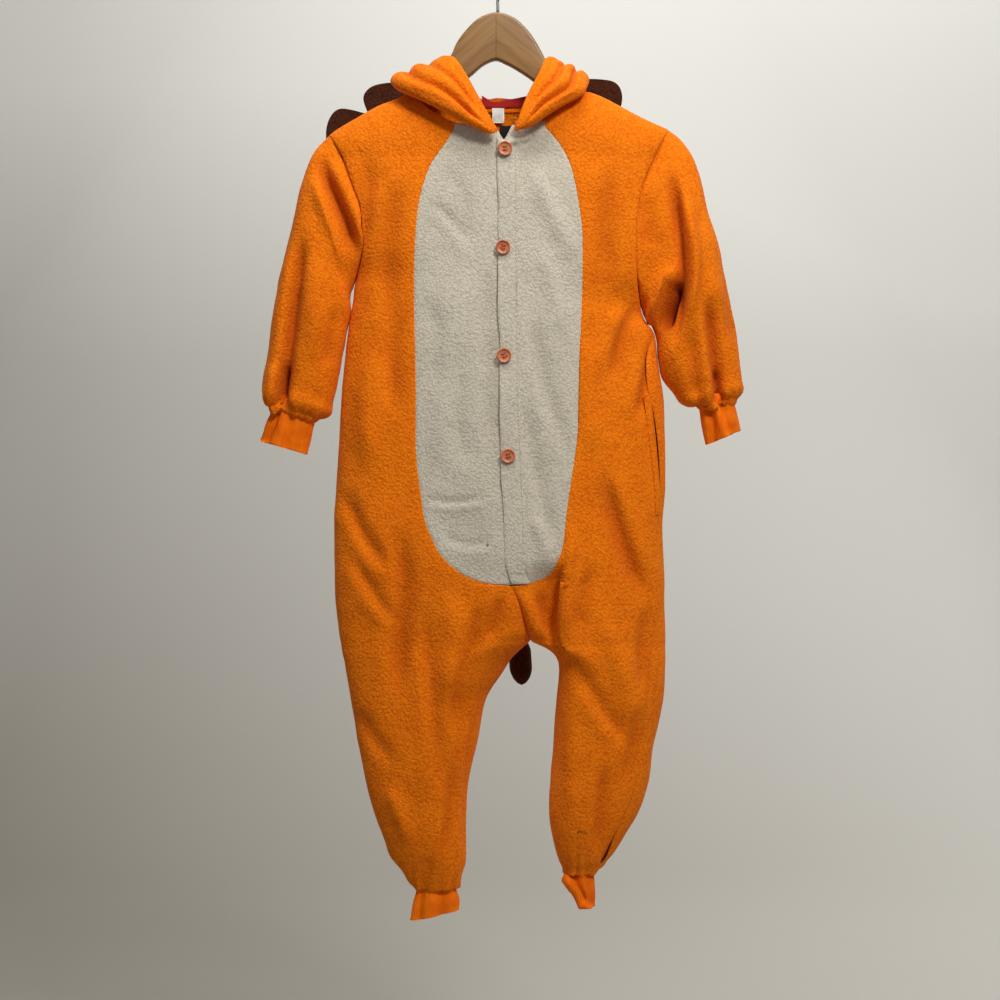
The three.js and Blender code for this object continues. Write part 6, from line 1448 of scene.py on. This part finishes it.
# ---------------------------------------------------------------- hanger
def hanger():
    top = np.stack([HANGER_TOP['x'], HANGER_TOP['z']], -1); low = np.stack([HANGER_LOW['x'], HANGER_LOW['z']], -1)
    tp = catmull(top, np.linspace(0, 1, 260)); lw = catmull(low, np.linspace(0, 1, 200))
    e1 = np.array([tp[-1] + (lw[0] - tp[-1]) * s + np.array([2.2 * math.sin(PI * s), 0]) for s in np.linspace(0, 1, 9)[1:-1]])
    e2 = np.array([lw[-1] + (tp[0] - lw[-1]) * s - np.array([2.2 * math.sin(PI * s), 0]) for s in np.linspace(0, 1, 9)[1:-1]])
    O = np.concatenate([tp, e1, lw, e2]); n = len(O)
    d = np.roll(O, -1, 0) - np.roll(O, 1, 0); d /= np.linalg.norm(d, axis=1, keepdims=True); nr = np.stack([-d[:, 1], d[:, 0]], -1)
    for _ in range(3): nr = (np.roll(nr, 1, 0) + 2 * nr + np.roll(nr, -1, 0)); nr /= np.linalg.norm(nr, axis=1, keepdims=True)
    R, h = 2.8, HANGER_T / 2
    rings = []
    for k in range(9):
        a = PI / 2 * k / 8; rings.append((R * (1 - math.cos(PI / 2 - a)), -h + R * (1 - math.sin(PI / 2 - a)) * 0 + (-R * math.cos(a) + R) * 0 + 0, a))
    prof = [(R * (1 - math.sin(a)), -h + R * (1 - math.cos(a))) for a in np.linspace(0, PI / 2, 7)]
    prof = [(i_, y_) for i_, y_ in prof]
    prof = prof + [(i_, -y_) for i_, y_ in prof[::-1]]
    V = []
    for ins, y_ in prof:
        q = O - nr * ins
        V.append(np.stack([q[:, 0], np.full(n, y_), q[:, 1]], -1))
    V = np.array(V); k = len(prof)
    bm = bmesh.new(); vs = [[bm.verts.new(p * .001) for p in row] for row in V]
    for i in range(k - 1):
        for j in range(n):
            bm.faces.new([vs[i][j], vs[i][(j + 1) % n], vs[i + 1][(j + 1) % n], vs[i + 1][j]])
    f1 = bm.faces.new(vs[0][::-1]); f2 = bm.faces.new(vs[-1])
    bmesh.ops.triangulate(bm, faces=[f1, f2]); bmesh.ops.recalc_face_normals(bm, faces=bm.faces)
    me = bpy.data.meshes.new('hanger_wood'); bm.to_mesh(me); bm.free()
    for p in me.polygons: p.use_smooth = True
    try: me.set_sharp_from_angle(angle=math.radians(50))
    except Exception: pass
    ob = bpy.data.objects.new('hanger_wood_smooth', me); bpy.context.scene.collection.objects.link(ob)
    return done(ob, 'hanger_wood', 'hanger_wood', 'wood')


hanger_wood = hanger()
HOOK = [(.9, 0, -54.6), (.9, 0, -48), (.9, 0, -41), (4.5, 0, -35.5), (13, 0, -31), (20, 0, -24.5), (21.8, 0, -16), (18, 0, -7), (9.5, 0, -.3), (0, 0, HOOK_D / 2), (-9.5, 0, -.3), (-17.5, 0, -6.5), (-21.5, 0, -15), (-21.5, 0, -20.2)]
hook = threads('hook_wire', [HOOK], HOOK_D / 2, n=20, sub=90)
hook.data.materials.append(MAT['steel']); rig.ride(hook, "root"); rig.replaces(hook, "hanger_hook"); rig.slot(hook, 'hook_steel')


# name, cut width, cut length (m), how it is held, what it hangs from, the cut's area (m2)
SHEETS = [
    ('front_a', .210, .840, 'hung', ['hanger_wood'], .1190), ('front_b', .200, .830, 'hung', ['hanger_wood'], .1020),
    ('back_a', .260, .860, 'hung', ['hanger_wood'], .1520), ('back_b', .260, .850, 'hung', ['hanger_wood'], .1530),
    ('belly_under', .125, .500, 'hung', ['front_a'], .0525), ('belly_over', .090, .500, 'hung', ['front_b'], .0295),
    ('placket_band', .026, .500, 'hung', ['belly_over'], .0125),
    ('sleeve_a', .300, .310, 'hung', ['front_a', 'back_a'], .0670), ('sleeve_b', .310, .320, 'hung', ['front_b', 'back_b'], .0712),
    ('wrist_cuff_a', .115, .066, 'gathered', ['sleeve_a'], .0075), ('wrist_cuff_b', .100, .063, 'gathered', ['sleeve_b'], .0062),
    ('ankle_cuff_a', .110, .042, 'gathered', ['front_a', 'back_a'], .0046), ('ankle_cuff_b', .105, .045, 'gathered', ['front_b', 'back_b'], .0047),
    ('hood_a', .220, .420, 'draped', ['front_a', 'back_a'], .0720), ('hood_b', .210, .410, 'draped', ['front_b', 'back_b'], .0670),
    ('mane_a', .050, .440, 'hung', ['hood_a'], .0180), ('mane_b', .050, .430, 'hung', ['hood_b'], .0178),
    ('pocket_bag', .160, .190, 'hung', ['front_b'], .0278), ('pocket_edge', .0115, .100, 'hung', ['front_b'], .0009),
    ('neck_lining', .0115, .054, 'hung', ['back_a', 'back_b'], .0005),
    ('label_white', .0130, .0165, 'hung', ['back_a'], .0002), ('label_dark', .0120, .0160, 'hung', ['back_a'], .00019)]
# ---------------------------------------------------------------- floor, lights, camera
def stage():
    prof = [(-2.6, -1.40), (1.8, -1.40)] + [(1.8 + 1.2 * math.sin(a), -.20 - 1.2 * math.cos(a)) for a in np.linspace(0, PI / 2, 14)[1:]] + [(3.0, 3.2)]
    xs = np.linspace(-5, 5, 9); V = []; F = []
    for y_, z_ in prof:
        for x_ in xs: V.append((float(x_), float(y_), float(z_)))
    n = len(xs)
    for i in range(len(prof) - 1):
        for j in range(n - 1): F.append((i * n + j, i * n + j + 1, (i + 1) * n + j + 1, (i + 1) * n + j))
    me = bpy.data.meshes.new('studio_floor'); me.from_pydata(V, [], F); me.update()
    for p in me.polygons: p.use_smooth = True
    ob = bpy.data.objects.new('studio_floor', me); bpy.context.scene.collection.objects.link(ob)
    ob.data.materials.append(backdrop('studio_grey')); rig.stage(ob)
    return ob


stage()
def area(name, loc, target, size, power, color=(1, 1, 1)):
    L = bpy.data.lights.new(name, 'AREA'); L.shape = 'RECTANGLE'; L.size, L.size_y = size; L.energy = power; L.color = color
    ob = bpy.data.objects.new(name, L); bpy.context.scene.collection.objects.link(ob); ob.location = loc
    v_ = [target[i] - loc[i] for i in range(3)]
    from mathutils import Vector
    ob.rotation_euler = Vector(v_).to_track_quat('-Z', 'Y').to_euler(); return ob


area('key', (.85, -1.80, 1.20), (0, 0, -.40), (.50, .50), 41, (1.0, .985, .955))
area('top', (-.05, -.62, 1.15), (0, 0, -.25), (1.2, .5), 19, (1, .99, .97))
area('fill', (-1.9, -2.0, .2), (0, 0, -.6), (1.6, 1.6), 4, (.97, .98, 1))
area('back_left', (-2.0, 1.9, .6), (0, 0, -.6), (1.4, 1.4), 12)
area('back_right', (2.0, 1.8, .3), (0, 0, -.6), (1.4, 1.4), 12)
area('wall', (.5, 1.6, 2.6), (.3, 3.0, .8), (3.4, .8), 54)
W = bpy.data.worlds.new('room'); bpy.context.scene.world = W; W.use_nodes = True
W.node_tree.nodes['Background'].inputs[0].default_value = (.93, .95, 1.0, 1); W.node_tree.nodes['Background'].inputs[1].default_value = .15
cam = bpy.data.cameras.new('view'); cam.sensor_width = 36; cam.lens = 65.45; cam.dof.use_dof = False; cam.clip_end = 30
co = bpy.data.objects.new('view', cam); bpy.context.scene.collection.objects.link(co)
co.location = (.0033, -2.0, -.5907); co.rotation_euler = (PI / 2, 0, 0); bpy.context.scene.camera = co
bpy.context.scene.view_settings.view_transform = 'Standard'

# ---------------------------------------------------------------- what each piece is
for k in SHEETS:
    ob = MADE[k[0]]
    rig.sheet(ob, flat=(k[1], k[2]), held=k[3], rests_on=k[4], area=k[5], with_pieces=[])
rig.padded(tail, .8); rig.padded(tuft, .8)

tris = {o.name: sum(len(p.vertices) - 2 for p in o.data.polygons) for o in bpy.data.objects if o.type == 'MESH' and not o.hide_render}
made = [list(map(float, c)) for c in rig.bounds()]
json.dump({'cad': cad_box, 'made': made}, open('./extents.json', 'w'))
print('triangles', sum(tris.values()), 'largest', max(tris.items(), key=lambda k: k[1]))
print('areas', {k: round(v_, 4) for k, v_ in areas.items()})
print('cad', cad_box, 'made', made)
